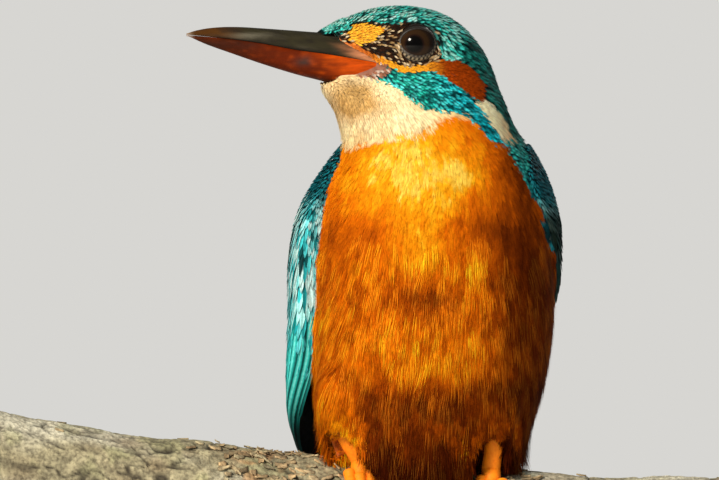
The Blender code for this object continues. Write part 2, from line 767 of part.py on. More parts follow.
def add_leg(side, wing_slot, parts, cutters):
    """Thigh, shank and foot of one side; the belly is open in front so that the foot closes on the perch."""
    foot_pieces(side, parts)
    x = FOOT_X[side]
    line = [
        heel_point(side),
        on_perch(x, ANKLE_ANGLE, TOE_RADIUS + GAP + 1.5),
        on_perch(x, PAD_ANGLE, TOE_RADIUS + GAP + 0.6),
    ]
    tarsus_slot = tube(f"tarsus_slot_{side}", line, [2.3, 2.75, 2.6], cutters, sides=12)
    reach = [on_perch(x, angle, 0.7) for angle in range(-48, 109, 12)]
    foot_room = tube(f"foot_room_{side}", reach, [4.9] * len(reach), cutters)
    before = [
        heel_point(side) + Vector((0.0, -3.6, -3.4)),
        on_perch(x, PAD_ANGLE, 6.6),
        on_perch(x, 62.0, 5.4),
        on_perch(x, 84.0, 4.4),
    ]
    shank_room = tube(f"shank_room_{side}", before, [2.9, 3.9, 4.3, 4.0], cutters)
    thigh = thigh_solid(f"thigh_{side}", side, parts)
    dressed(combine(thigh, [tarsus_slot, wing_slot], "DIFFERENCE"), "orange")
    return [thigh_solid(f"thigh_socket_{side}", side, cutters, GAP), tarsus_slot, foot_room, shank_room]


def add_perch_and_stand(parts, cutters):
    sockets = []
    for side, x in ROD_PLACES.items():
        dressed(rod_solid(f"stand_rod_{side}", x, parts), "steel")
        sockets.append(rod_solid(f"rod_socket_{side}", x, cutters, GAP))
    dressed(combine(perch_solid("perch", parts), sockets, "DIFFERENCE"), "bark", 35.0)
    dressed(combine(base_solid("stand_base", parts), sockets, "DIFFERENCE"), "walnut", 35.0)


def main():
    for old in list(bpy.data.objects):
        bpy.data.objects.remove(old)
    parts = bpy.data.collections.new("kingfisher")
    cutters = bpy.data.collections.new("cutters")
    for collection in (parts, cutters):
        bpy.context.scene.collection.children.link(collection)

    flesh = part_flesh(whole_flesh(cutters), cutters, parts)
    head_cutters = add_bill(parts, cutters)
    dressed(tail_solid("tail", parts), "azure")
    trunk_cutters = [
        tail_solid("tail_socket", cutters, GAP),
        perch_solid("perch_clearance", cutters, 3 * GAP, rows=13, sides=13),
    ]
    for side in SIDES:
        head_cutters.append(add_eye(side, parts, cutters))
        wing_slot = add_wing(side, parts, cutters)
        combine(flesh["neck"], [wing_slot], "DIFFERENCE")
        trunk_cutters += [wing_slot, *add_leg(side, wing_slot, parts, cutters)]
    combine(flesh["head"], head_cutters, "DIFFERENCE")
    combine(flesh["trunk"], trunk_cutters, "DIFFERENCE")
    add_perch_and_stand(parts, cutters)
    for guide in cutters.objects:
        guide.hide_render = True
        guide.display_type = "WIRE"


main()
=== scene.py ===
"""Dresses the kingfisher: one skin, a coat of mesh feathers, bill, eyes, feet, bark and display stand.

Sizes in the functions are in millimetres and become metres where a mesh is made.
Heights called h count from the feet, and the head's axes are forward, left and up from its midline.
"""

import contextlib
import math

import bmesh
import bpy
import numpy as np
from mathutils import Matrix, Vector
from mathutils.bvhtree import BVHTree


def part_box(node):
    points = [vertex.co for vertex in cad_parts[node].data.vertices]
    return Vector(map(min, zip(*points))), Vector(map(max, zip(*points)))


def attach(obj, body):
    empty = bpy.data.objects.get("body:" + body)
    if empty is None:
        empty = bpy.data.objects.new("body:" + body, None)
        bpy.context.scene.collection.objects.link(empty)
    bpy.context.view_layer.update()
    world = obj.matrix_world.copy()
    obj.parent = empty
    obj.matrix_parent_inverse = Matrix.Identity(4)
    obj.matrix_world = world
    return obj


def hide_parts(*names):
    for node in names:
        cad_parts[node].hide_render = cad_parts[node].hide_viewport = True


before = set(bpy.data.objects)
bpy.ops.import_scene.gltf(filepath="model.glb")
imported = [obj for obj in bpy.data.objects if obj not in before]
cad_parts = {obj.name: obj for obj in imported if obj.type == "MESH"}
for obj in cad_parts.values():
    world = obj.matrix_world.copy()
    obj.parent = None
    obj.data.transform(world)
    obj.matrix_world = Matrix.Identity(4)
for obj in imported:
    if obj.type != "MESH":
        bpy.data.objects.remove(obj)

bl_info = {
    "name": "Kingfisher on a Perch",
    "version": (1, 0, 0),
    "blender": (4, 5, 0),
    "location": "3D View > Sidebar > Kingfisher",
    "description": "Builds the skin, feathers, bill, eyes, feet, bark and stand of a life-size kingfisher",
    "category": "Object",
}

MM = 0.001
SIDES = {"left": 1, "right": -1}
FLESH = ("head", "neck", "trunk", "thigh_left", "thigh_right", "wing_left", "wing_right")
PATCH = 0.003  # how large a feather's patch is on the unwrap of the skin
MOST_TRIANGLES = 185000  # in one piece of the coat
CONTRAST = 0.42  # between the barbs of a feather, where a layer sets none of its own
CAMERA_DISTANCE, VIEW_WIDTH = 2.5, 0.15978  # metres, the width as seen at the model

# The carcass that the coat lies on, as the solids have it.
FEET_HEIGHT = 76.0
BODY_TURN = math.radians(10.0)
BODY_X, BODY_Y = 1.5, 1.0
SWAY, SWAY_H, LEAN, LEAN_H = 0.06, 32.0, 0.035, 45.0
TRUNK_TOP, TRUNK_FOOT = 80.0, -15.0
TRUNK_HALF_WIDTH, WIDEST_H = 27.5, 34.0
BREAST_DEPTH, BREAST_H, BREAST_FOOT = 26.0, 33.0, -7.0
BACK_DEPTH, BACK_H = 23.5, 18.0
SECTION_POWER = 2.15
HEAD_TURN = math.radians(20.0)
HEAD_X, HEAD_Y, EYE_H = -5.4, -2.0, 94.2
BILL_TIP, BILL_ROOT, GAPE = 50.3, 4.9, 5.6
BILL_HALF_WIDTH = 5.8
CULMEN = [
    (0.0, 1.3), (12.0, 1.5), (19.8, 1.8), (26.2, 2.2), (32.8, 2.6), (38.0, 2.85), (42.2, 2.8),
    (46.7, 2.3), (49.2, 1.7),
    (50.3, 1.3),
]
BILL_LINE = [
    (0.0, -6.0), (5.6, -5.3), (11.9, -4.2), (18.4, -3.15), (26.2, -2.1), (32.8, -0.9), (41.2, 0.25),
    (49.0, 0.95),
    (50.3, 1.05),
]
GONYS = [
    (0.0, -9.3), (17.4, -9.3), (19.4, -8.8), (23.3, -7.9), (31.4, -5.65), (39.6, -3.05), (47.4, -0.35),
    (49.0, 0.35),
    (50.3, 0.85),
]
# Where the green of the left shoulder begins, by height.
SHOULDER_EDGE = [
    (50.0, 26.5), (52.2, 25.6), (58.9, 23.8), (63.3, 21.1), (66.7, 19.4), (70.0, 17.5), (74.0, 15.5),
]
WING_TOP, WING_TIP_H = 71.5, -13.0
WING_PROUD = {"left": 1.7, "right": 4.5}
WING_TAPER = 0.12
TAIL_LENGTH = 37.0
TAIL_ROOT_Y, TAIL_ROOT_H, TAIL_DROP = -19.0, 1.0, math.radians(68.0)
FOOT_X = {"left": 14.6, "right": -14.4}
HEEL = {"left": (15.2, -9.2, 9.0), "right": (-18.4, -9.4, 8.8)}
ANKLE_ANGLE, PAD_ANGLE = 33.0, 39.0
TOE_RADIUS, CLAW_LENGTH = 1.25, 4.2
GAP = 0.32
PERCH_ENDS = (-97.5, 72.0)
PERCH_RADIUS, PERCH_TAPER = 13.2, -0.012
PERCH_SLOPE, PERCH_BEND = -0.0754, 0.000523

# Outlines of the head's markings, as (forward, up) on either side.
EYE_RIM = (-0.4, -0.5, 4.6)
LORAL_SPOT = [
    (14.6, 1.5), (13.4, 2.9), (11.2, 3.5), (9.0, 3.2), (7.2, 2.4),
    (8.2, 1.2), (9.6, 0.0), (11.0, -0.8), (12.8, -0.6), (14.3, 0.2),
]
LORES = [
    (8.0, -4.1), (5.4, -5.1), (2.0, -5.8), (-1.5, -5.7), (-4.6, -4.9), (-5.2, -1.0), (-4.4, 2.6),
    (-1.8, 3.9), (2.6, 3.7), (5.2, 3.2), (8.3, 3.6), (11.2, 3.9), (13.6, 3.2), (15.4, 1.9),
    (16.4, 1.0), (15.8, 0.2),
    (13.6, -0.8), (10.0, -2.8),
]
EAR = [
    (18.8, 1.3), (17.5, -0.6), (14.5, -1.2), (10.2, -3.2), (6.7, -5.1), (4.3, -6.5), (1.7, -6.9),
    (-1.2, -6.9), (-4.0, -7.2), (-5.6, -7.9), (-7.2, -9.2), (-8.8, -10.6), (-10.6, -12.4), (-12.4, -12.8),
    (-13.9, -11.7), (-14.0, -9.6), (-12.8, -7.2), (-11.0, -5.3), (-8.8, -4.2), (-6.0, -3.6), (-4.4, -4.3),
    (-1.2, -5.4), (1.7, -5.5), (4.3, -5.2), (6.7, -4.1), (10.0, -2.3), (14.1, -0.2), (17.9, 1.2),
]
NECK_PATCH = [
    (-11.0, -12.5), (-13.6, -12.7), (-15.8, -13.8), (-17.4, -15.8), (-19.0, -18.0), (-20.6, -20.4),
    (-18.6, -20.7), (-16.2, -19.8), (-14.2, -18.4), (-12.4, -16.2), (-11.2, -14.4),
]
MALAR = [
    (9.2, -6.6), (6.0, -6.3), (4.3, -6.5), (1.0, -6.8), (-2.4, -7.0), (-4.8, -7.7), (-7.2, -9.4),
    (-10.0, -11.8),
    (-11.2, -14.4), (-12.9, -16.8), (-15.4, -19.2), (-18.2, -21.4), (-14.2, -21.6), (-11.2, -19.4),
    (-9.4, -17.2), (-7.6, -15.7), (-5.0, -15.2), (-2.2, -14.9), (0.2, -14.2), (2.2, -12.5), (4.3, -10.9),
    (6.4, -9.0), (8.8, -8.1),
]
GAPE_SKIN = [(13.4, -5.2), (13.0, -7.6), (10.4, -8.0), (7.6, -7.9), (6.0, -6.4), (6.4, -4.9), (9.0, -4.4)]
THROAT = [
    (24.0, -7.0), (12.0, -7.6), (8.6, -8.1), (6.4, -9.0), (4.3, -10.9), (2.2, -12.5), (0.2, -14.2),
    (-2.2, -14.9), (-7.6, -15.6), (-9.4, -17.1), (-11.2, -19.3), (-14.2, -21.4), (-16.0, -30.0),
    (24.0, -30.0),
]
BILL_ROOM = [
    (5.6, -5.8), (10.2, -2.9), (14.5, -0.5), (18.4, 2.0), (30.0, 12.0), (60.0, 12.0), (60.0, -18.0),
    (30.0, -18.0), (19.4, -8.7), (12.0, -7.9),
]
HEAD_FOOT = [
    (-30.0, -20.5), (-21.0, -20.4), (-17.0, -20.8), (-14.2, -21.2), (-11.2, -19.4), (-9.4, -17.2),
    (-7.5, -16.4), (-2.4, -16.8), (-1.0, -18.5), (1.0, -19.7), (4.0, -20.1), (8.0, -20.7), (12.0, -22.0),
    (14.0, -23.0), (24.0, -23.6),
]

# Feather colours: the covered part and the part that shows.
COLOURS = {
    "crown": ((0.002, 0.012, 0.012), (0.070, 0.940, 0.800)),
    "nape": ((0.002, 0.010, 0.010), (0.014, 0.260, 0.215)),
    "spot": ((0.55, 0.18, 0.01), (0.90, 0.46, 0.035)),
    "lores": ((0.004, 0.003, 0.002), (0.014, 0.010, 0.007)),
    "ear": ((0.10, 0.014, 0.001), (0.30, 0.040, 0.002)),
    "neck_patch": ((0.80, 0.60, 0.32), (1.00, 0.90, 0.58)),
    "malar": ((0.002, 0.040, 0.045), (0.010, 0.400, 0.380)),
    "gape": ((0.16, 0.05, 0.03), (0.30, 0.13, 0.08)),
    "throat": ((0.62, 0.40, 0.17), (0.96, 0.80, 0.50)),
    "breast": ((0.40, 0.08, 0.003), (0.86, 0.25, 0.004)),
    "wing": ((0.003, 0.016, 0.020), (0.008, 0.260, 0.300)),
    "back": ((0.003, 0.050, 0.100), (0.012, 0.400, 0.620)),
    "mantle": ((0.002, 0.020, 0.026), (0.006, 0.150, 0.180)),
    "vent": ((0.36, 0.08, 0.004), (0.72, 0.22, 0.010)),
}
# The breast from chestnut through orange to gold.
BREAST_TONES = [
    (0.0, (0.050, 0.006, 0.0005)),
    (0.2, (0.160, 0.024, 0.0008)),
    (0.4, (0.440, 0.078, 0.0010)),
    (0.6, (0.720, 0.150, 0.0015)),
    (0.8, (0.920, 0.330, 0.0040)),
    (0.92, (0.970, 0.500, 0.0120)),
    (1.0, (1.000, 0.680, 0.0900)),
]


# Forms of the carcass, for arrays of points.


def egg(h, low, full, high, low_power, high_power):
    """From 0 at low and high to 1 at full, with the roundness of each end."""
    h = np.asarray(h, float)
    up = h > full
    share = np.where(up, (h - full) / (high - full), (full - h) / (full - low))
    power = np.where(up, high_power, low_power)
    return np.clip(1.0 - np.clip(share, 0.0, 1.0) ** power, 0.0, 1.0) ** (1.0 / power)


def ease(value, start, end):
    share = np.clip((np.asarray(value, float) - start) / (end - start), 0.0, 1.0)
    return share * share * (3.0 - 2.0 * share)


def through(keys, value):
    """Smooth curve through a few (place, size) keys, for an array of values."""
    places = np.array([key[0] for key in keys], float)
    sizes = np.array([key[1] for key in keys], float)
    slopes = np.gradient(sizes, places)
    value = np.asarray(value, float)
    i = np.clip(np.searchsorted(places, value) - 1, 0, len(keys) - 2)
    run = places[i + 1] - places[i]
    t = np.clip((value - places[i]) / run, 0.0, 1.0)
    near = (1 + 2 * t) * (1 - t) ** 2 * sizes[i] + t * (1 - t) ** 2 * run * slopes[i]
    far = t * t * (3 - 2 * t) * sizes[i + 1] + t * t * (t - 1) * run * slopes[i + 1]
    return near + far


def stack(*columns):
    return np.stack(np.broadcast_arrays(*columns), axis=-1).astype(float)


def from_body(left, forward, h):
    c, s = math.cos(BODY_TURN), math.sin(BODY_TURN)
    h = np.asarray(h, float)
    middle = BODY_X + SWAY * np.minimum(0.0, h - SWAY_H) + LEAN * np.maximum(0.0, h - LEAN_H)
    return stack(middle + left * c + forward * s, BODY_Y + left * s - forward * c, FEET_HEIGHT + h)


def to_body(points):
    c, s = math.cos(BODY_TURN), math.sin(BODY_TURN)
    h = points[:, 2] - FEET_HEIGHT
    middle = BODY_X + SWAY * np.minimum(0.0, h - SWAY_H) + LEAN * np.maximum(0.0, h - LEAN_H)
    dx, dy = points[:, 0] - middle, points[:, 1] - BODY_Y
    return dx * c + dy * s, dx * s - dy * c, h


def from_head(forward, left, up):
    c, s = math.cos(HEAD_TURN), math.sin(HEAD_TURN)
    return stack(
        HEAD_X - forward * c + left * s,
        HEAD_Y - forward * s - left * c,
        FEET_HEIGHT + EYE_H + np.asarray(up),
    )


def to_head(points):
    c, s = math.cos(HEAD_TURN), math.sin(HEAD_TURN)
    dx, dy = points[:, 0] - HEAD_X, points[:, 1] - HEAD_Y
    return -(dx * c + dy * s), dx * s - dy * c, points[:, 2] - FEET_HEIGHT - EYE_H


HEAD_AXES = np.array(
    [
        [-math.cos(HEAD_TURN), -math.sin(HEAD_TURN), 0.0],
        [math.sin(HEAD_TURN), -math.cos(HEAD_TURN), 0.0],
        [0.0, 0.0, 1.0],
    ]
)
BODY_AXES = np.array(
    [
        [math.cos(BODY_TURN), math.sin(BODY_TURN), 0.0],
        [math.sin(BODY_TURN), -math.cos(BODY_TURN), 0.0],
        [0.0, 0.0, 1.0],
    ]
)


def perch_radius(x):
    return PERCH_RADIUS + PERCH_TAPER * x + 0.35 * np.sin(x / 9.0) + 0.25 * np.sin(x / 4.1 + 1.0)


def perch_middle(x):
    return FEET_HEIGHT + PERCH_SLOPE * x + PERCH_BEND * x * x - PERCH_RADIUS - PERCH_TAPER * x


def on_perch(x, angle, off):
    """A point off millimetres above the perch, angle degrees over its top towards the breast's side."""
    a, r = np.radians(angle), perch_radius(x) + off
    return stack(x, -r * np.sin(a), perch_middle(x) + r * np.cos(a))


def trunk_half_width(h):
    return TRUNK_HALF_WIDTH * egg(h, TRUNK_FOOT, WIDEST_H, TRUNK_TOP, 2.2, 2.8)


def trunk_back(h):
    return BACK_DEPTH * egg(h, TRUNK_FOOT - 4.0, BACK_H, TRUNK_TOP + 2.0, 2.4, 2.3)


def breast_depth(h):
    return BREAST_DEPTH * egg(h, BREAST_FOOT, BREAST_H, TRUNK_TOP + 3.0, 2.2, 2.5)


def wing_proud(side, h):
    """How far a folded wing stands out; low down the left one sinks into the feathers of the flank."""
    low = ease(h, 24.0, 44.0) if side == "left" else 1.0
    return WING_PROUD[side] * ease(h, WING_TOP + 4.0, 52.0) * low


def wing_axes(side, h):
    """Half width, and depth before and behind, of the oval that a folded wing lies on."""
    proud = wing_proud(side, h)
    low = ease(h, 26.0, WING_TIP_H - 12.0)
    width = (trunk_half_width(np.maximum(h, 26.0)) + proud) * (1.0 - WING_TAPER * low)
    back = trunk_back(np.maximum(h, 16.0)) + 0.4 * proud + 9.5 * ease(h, 24.0, WING_TIP_H - 6.0)
    return width, breast_depth(h) + 0.4 * proud, back


def wing_point(side, angle, h, lift):
    width, front, back = wing_axes(side, h)
    a = np.radians(angle)
    c, s = np.cos(a), np.sin(a)
    left = SIDES[side] * (width + lift) * np.abs(s) ** (2 / SECTION_POWER)
    deep = np.where(c > 0, front, back) + lift
    return from_body(left, deep * np.sign(c) * np.abs(c) ** (2 / SECTION_POWER), h)


def wing_edges(side, h):
    """Angles from the breast where a folded wing starts and ends."""
    front = {
        "left": [
            (WING_TIP_H, 151.0), (-4.0, 142.0), (5.0, 131.0), (14.0, 120.0), (30.0, 102.0), (40.0, 84.0),
            (48.0, 71.0), (54.0, 59.0), (60.0, 50.0), (66.0, 52.0), (WING_TOP, 70.0),
        ],
        "right": [
            (WING_TIP_H, 149.0), (-4.0, 136.0), (5.0, 117.0), (14.0, 96.0), (30.0, 81.0), (46.0, 78.0),
            (56.0, 78.0), (64.0, 77.0), (WING_TOP, 84.0),
        ],
    }
    back = [
        (WING_TIP_H, 158.0), (-4.0, 165.0), (10.0, 166.0), (52.0, 162.0), (64.0, 156.0), (WING_TOP, 128.0),
    ]
    return through(front[side], h), through(back, h)


def edges_beside(left, h):
    """The angles of the wing's edges on whichever side each point lies."""
    fronts = {side: wing_edges(side, h)[0] for side in SIDES}
    return np.where(left > 0, fronts["left"], fronts["right"]), wing_edges("left", h)[1]


def round_angle(left, forward, h):
    """How far round from the breast a point of the body lies, in degrees, as the wing counts it."""
    ovals = {side: wing_axes(side, h) for side in SIDES}
    width = np.where(left > 0, ovals["left"][0], ovals["right"][0])
    deep = np.where(forward > 0, np.maximum(ovals["left"][1], 6.0), ovals["left"][2])
    power = SECTION_POWER / 2
    across = (np.abs(left) / np.maximum(width, 1.0)) ** power
    along = np.sign(forward) * (np.abs(forward) / deep) ** power
    return np.degrees(np.arctan2(across, along))


def bill_axis(forward):
    return through(BILL_LINE, forward)


def bill_half_width(forward):
    share = np.clip((BILL_TIP - forward) / (BILL_TIP - GAPE), 0.0, 1.04)
    return 0.22 + BILL_HALF_WIDTH * share**1.12


def culmen(forward):
    return through(CULMEN, forward)


def gonys(forward):
    return through(GONYS, forward)


def unit(vectors):
    return vectors / np.maximum(np.linalg.norm(vectors, axis=-1, keepdims=True), 1e-9)


def flattened(vectors, normals):
    """The vectors without their part along the normals, at unit length."""
    return unit(vectors - normals * np.sum(vectors * normals, axis=-1, keepdims=True))


def soft_noise(points, size, seed=0):
    """Smooth noise from -1 to 1 whose lumps are about size across."""
    q = points / size + seed * 17.13
    cell = np.floor(q).astype(np.int64)
    t = q - cell
    t = t * t * (3 - 2 * t)
    total = 0.0
    for dx in (0, 1):
        for dy in (0, 1):
            for dz in (0, 1):
                a = (cell[:, 0] + dx) * 73856093
                b = (cell[:, 1] + dy) * 19349663
                c = (cell[:, 2] + dz) * 83492791
                mixed = (a ^ b ^ c ^ (seed * 2654435)) & 0x7FFFFFFF
                mixed = (mixed * 1103515245 + 12345) & 0x7FFFFFFF
                mixed = ((mixed >> 7) * 48271 + 11) & 0xFFFF
                weight = np.where(dx, t[:, 0], 1 - t[:, 0])
                weight = weight * np.where(dy, t[:, 1], 1 - t[:, 1])
                weight = weight * np.where(dz, t[:, 2], 1 - t[:, 2])
                total = total + weight * (mixed / 32767.5 - 1.0)
    return total


def inside(outline, x, y):
    """Which points lie inside an outline."""
    held = np.zeros(len(x), bool)
    for (ax, ay), (bx, by) in zip(outline, outline[1:] + outline[:1]):
        crosses = (ay > y) != (by > y)
        run = (by - ay) if by != ay else 1e-9
        held ^= crosses & (x < (bx - ax) * (y - ay) / run + ax)
    return held


def blend(a, b, share):
    """From a to b by a share for each row; either may be a single colour."""
    share = np.asarray(share, float)[..., None]
    return np.asarray(a) * (1 - share) + np.asarray(b) * share


# Markings: which kind of plumage covers each place, and its colours.

KINDS = (
    "crown", "nape", "spot", "lores", "ear", "neck_patch", "malar", "gape", "throat", "breast", "wing",
    "back", "mantle", "vent",
)
KIND = {name: i for i, name in enumerate(KINDS)}
WARM_KINDS = [KIND[name] for name in ("spot", "ear", "neck_patch", "gape", "throat", "breast", "vent")]


def plumage_kind(points, ragged=0.35):
    """The kind of plumage at each point, with ragged borders."""
    stir = np.stack([soft_noise(points, 1.3, k) for k in (1, 2, 3)], axis=1) * ragged
    points = points + stir
    f, l, u = to_head(points)
    left, forward, h = to_body(points)
    angle = round_angle(left, forward, np.clip(h, -12, 72))
    kind = np.full(len(points), KIND["breast"])
    front, back = edges_beside(left, np.clip(h, WING_TIP_H, WING_TOP))
    cape = ease(h, 64.0, 73.0) * 14.0
    rear = angle > front + 8.0 + cape * 0.2
    kind[rear] = KIND["mantle"]
    kind[(angle > 150.0) & (h < 74)] = KIND["back"]
    shoulder = (points[:, 0] > through(SHOULDER_EDGE, h)) & (h > 50.0) & (h < 74.0)
    kind[(kind == KIND["breast"]) & shoulder] = KIND["mantle"]
    kind[(angle > front - 1.0) & (angle < back - 4.0) & (h > 19.0) & (h < 72.0)] = KIND["wing"]
    kind[(h < 3.0) & (forward > -17.0) & (forward < -2.0) & (angle > 95.0)] = KIND["vent"]
    low = (h < -4.0) & (forward > -22.0) & (forward < 0.0)
    kind[low] = KIND["vent"]
    places = np.array([key[0] for key in HEAD_FOOT])
    feet = np.array([key[1] for key in HEAD_FOOT])
    head = u > np.interp(f, places, feet)
    flank = np.abs(l)
    kind[head] = KIND["crown"]
    kind[head & (f < -9.0) & (u < 2.0)] = KIND["nape"]
    kind[head & inside(THROAT, f, u)] = KIND["throat"]
    kind[head & inside(LORES, f, u) & (flank > 2.6)] = KIND["lores"]
    kind[head & inside(NECK_PATCH, f, u) & (flank > 3.5)] = KIND["neck_patch"]
    kind[head & inside(EAR, f, u)] = KIND["ear"]
    kind[inside(MALAR, f, u) & (flank > 3.8) & (u > -21.6)] = KIND["malar"]
    kind[head & inside(LORAL_SPOT, f, u) & (flank > 2.0)] = KIND["spot"]
    kind[head & (flank < 4.2) & (u < -9.0) & (f > -12.0)] = KIND["throat"]
    kind[head & inside(GAPE_SKIN, f, u)] = KIND["gape"]
    return kind


# Paler and darker patches of the breast, partly its own tone and partly painted light and shade, the largest
# pale one a pool of painted light on the upper breast: how much, how far across, how high, half width and
# half height.
BREAST_PATCHES = [
    (-0.05, -19.0, 60.0, 5.0, 9.0), (-0.05, 0.0, 36.0, 14.0, 7.0), (0.12, -2.0, 71.0, 17.0, 6.0),
    (0.06, 17.0, 8.0, 6.0, 6.0), (0.40, -3.0, 64.0, 13.5, 10.0), (0.15, 5.5, 68.0, 2.8, 2.8),
    (0.16, 7.5, 64.3, 2.6, 3.0), (0.13, 5.3, 60.0, 2.4, 2.2), (0.10, -10.0, 69.0, 3.4, 2.2),
    (0.22, -0.9, 46.7, 3.4, 3.0), (0.20, 10.7, 47.0, 2.6, 2.6), (0.18, -0.9, 52.0, 5.0, 2.8),
    (0.16, 3.0, 23.8, 5.0, 3.2), (0.08, 1.0, 31.0, 10.0, 4.0), (0.14, -17.8, 9.6, 3.4, 5.5),
    (-0.24, -13.9, 53.4, 6.0, 3.0), (-0.22, 13.8, 54.4, 5.0, 3.4), (-0.24, 0.7, 39.8, 6.0, 3.8),
    (-0.18, -17.8, 22.8, 3.6, 3.8), (-0.12, 16.0, 21.0, 9.0, 2.8), (0.07, 14.0, 29.0, 6.0, 3.0),
]


BREAST_WISPS = [(0.75, 9.6, 6.2, 3.6, 4.0), (0.45, 19.0, 10.5, 2.0, 5.0), (0.15, -18.5, 10.0, 2.4, 3.4)]


def breast_tone(points, h):
    """How pale the breast is, from umber at 0 to straw at 1: a golden bib, partly its own colour and partly
    painted light, painted shade down the side turned from the key light, and a belly darker partly in its
    own colour and partly by painted shade.
    """
    x = points[:, 0] + 0.9 * soft_noise(points, 3.0, 15)
    up = h + 1.1 * soft_noise(points, 3.0, 16)

    def patched(total, patches):
        for much, across, high, wide, tall in patches:
            total = total + much * np.exp(-(((x - across) / wide) ** 2) - ((up - high) / tall) ** 2)
        return total

    # Painted shade darkens the breast towards the bird's left, the side turned from the key light.
    tone = 0.57 - 0.34 * ease(x, 10.0, 20.0) - 0.10 * ease(x, 19.0, 25.0) * ease(h, 56.0, 44.0)
    tone = patched(tone, BREAST_PATCHES)
    # Low down the belly darkens, partly its own chestnut and partly painted shade; the lit edge on the
    # bird's right is spared, and between the feet it darkens further.
    tone = tone - 0.34 * ease(up, 25.0, 18.0) * ease(x, -16.0, -12.0) * (1 - 0.75 * ease(x, 9.0, 17.0))
    tone = tone - 0.34 * ease(up, 12.0, 3.0) * ease(x, -15.0, -11.0)
    drawn = soft_noise(stack(points[:, 0] / 0.45, points[:, 1] / 0.8, points[:, 2] / 4.4), 1.0, 7)
    wisps = np.clip(drawn * 1.8, 0, 1) * patched(0.0, BREAST_WISPS)
    wisps = np.minimum(wisps, np.maximum(0.74 - tone, 0))
    clumps = 0.60 * soft_noise(points, 4.4, 5) + 0.40 * soft_noise(points, 2.2, 6)
    lively = 0.45 + 0.75 * ease(h, 30.0, 50.0)
    return np.clip(tone + wisps + 0.17 * clumps * lively + 0.11 * drawn, 0, 1)


def chosen_colour(settings, name):
    """The colour that shows on one kind of plumage: the user's own where there is a setting for it."""
    return np.array(getattr(settings, name, COLOURS[name][1]))


def plumage_colours(points, kind, settings):
    """The covered and the showing colour of the plumage at each point."""
    covered = np.array([COLOURS[name][0] for name in KINDS])[kind]
    shown = np.array([chosen_colour(settings, name) for name in KINDS])[kind]
    f, l, u = to_head(points)
    left, forward, h = to_body(points)

    def paint(name, colour, under=None):
        here = (kind == KIND[name])[:, None]
        shown[:] = np.where(here, colour, shown)
        if under is not None:
            covered[:] = np.where(here, under, covered)

    tone = breast_tone(points, h)
    stops = [t for t, _ in BREAST_TONES]
    breast = np.stack([np.interp(tone, stops, [c[k] for _, c in BREAST_TONES]) for k in range(3)], axis=1)
    paint("breast", breast, breast * (0.55, 0.40, 0.40))
    # The throat yellows towards the breast, and under the bill it carries a painted shadow of the bill.
    warm = ease(u, -15.0, -23.0) * 0.35 + ease(f, 2.0, -8.0) * 0.55
    shade = np.exp(-(((f - 12.5) / 5.0) ** 2) - ((u + 12.5) / 3.6) ** 2) * 0.85
    shade = shade + 0.35 * soft_noise(points, 3.0, 14)
    paint("throat", blend(shown, (0.50, 0.27, 0.06), np.clip(shade * 1.2, 0, 0.9)))
    paint("throat", blend(shown, (0.95, 0.50, 0.08), np.clip(warm, 0, 0.8)))
    # The neck patch is white in front and peach behind.
    paint("neck_patch", blend(shown, (0.85, 0.45, 0.20), ease(f, -14.5, -20.0) * 0.8))
    # The malar stripe: green in front, azure behind.
    paint("malar", blend((0.030, 0.760, 0.580), (0.010, 0.700, 0.860), ease(f, 2.0, -8.0)))
    # The mantle is greener and brighter where it comes round the shoulder.
    paint("mantle", blend(shown, (0.040, 0.560, 0.470), ease(h, 60.0, 68.0) * ease(forward, -14.0, -4.0)))
    # The line over the bill is clear orange, and the ear behind the eye rust.
    line = blend(chosen_colour(settings, "ear"), (0.90, 0.36, 0.02), ease(f, -6.0, 0.0))
    line = blend(line, (0.78, 0.20, 0.03), ease(f, 6.0, 11.0))
    paint("ear", line, line * 0.6)
    return covered, shown


# The lie of the coat and how deep it is.


def coat_depth(points):
    """How far the tips of the coat stand over the skin."""
    f, l, u = to_head(points)
    left, forward, h = to_body(points)
    angle = round_angle(left, forward, np.clip(h, -12, 72))
    front, back = edges_beside(left, np.clip(h, WING_TIP_H, WING_TOP))
    body = 1.2 + 0.4 * ease(h, 30.0, 0.0)
    body = body - 0.5 * ease(angle, 100.0, 140.0)
    on_wing = (angle > front - 2) & (angle < back + 2) & (h > 20) & (h < 71)
    body = np.where(on_wing, 0.75, body)
    face = np.hypot(f - 4.0, u + 1.5)
    head = 0.42 + 0.38 * ease(face, 6.0, 20.0)
    return head + (body - head) * ease(u, -17.0, -26.0)


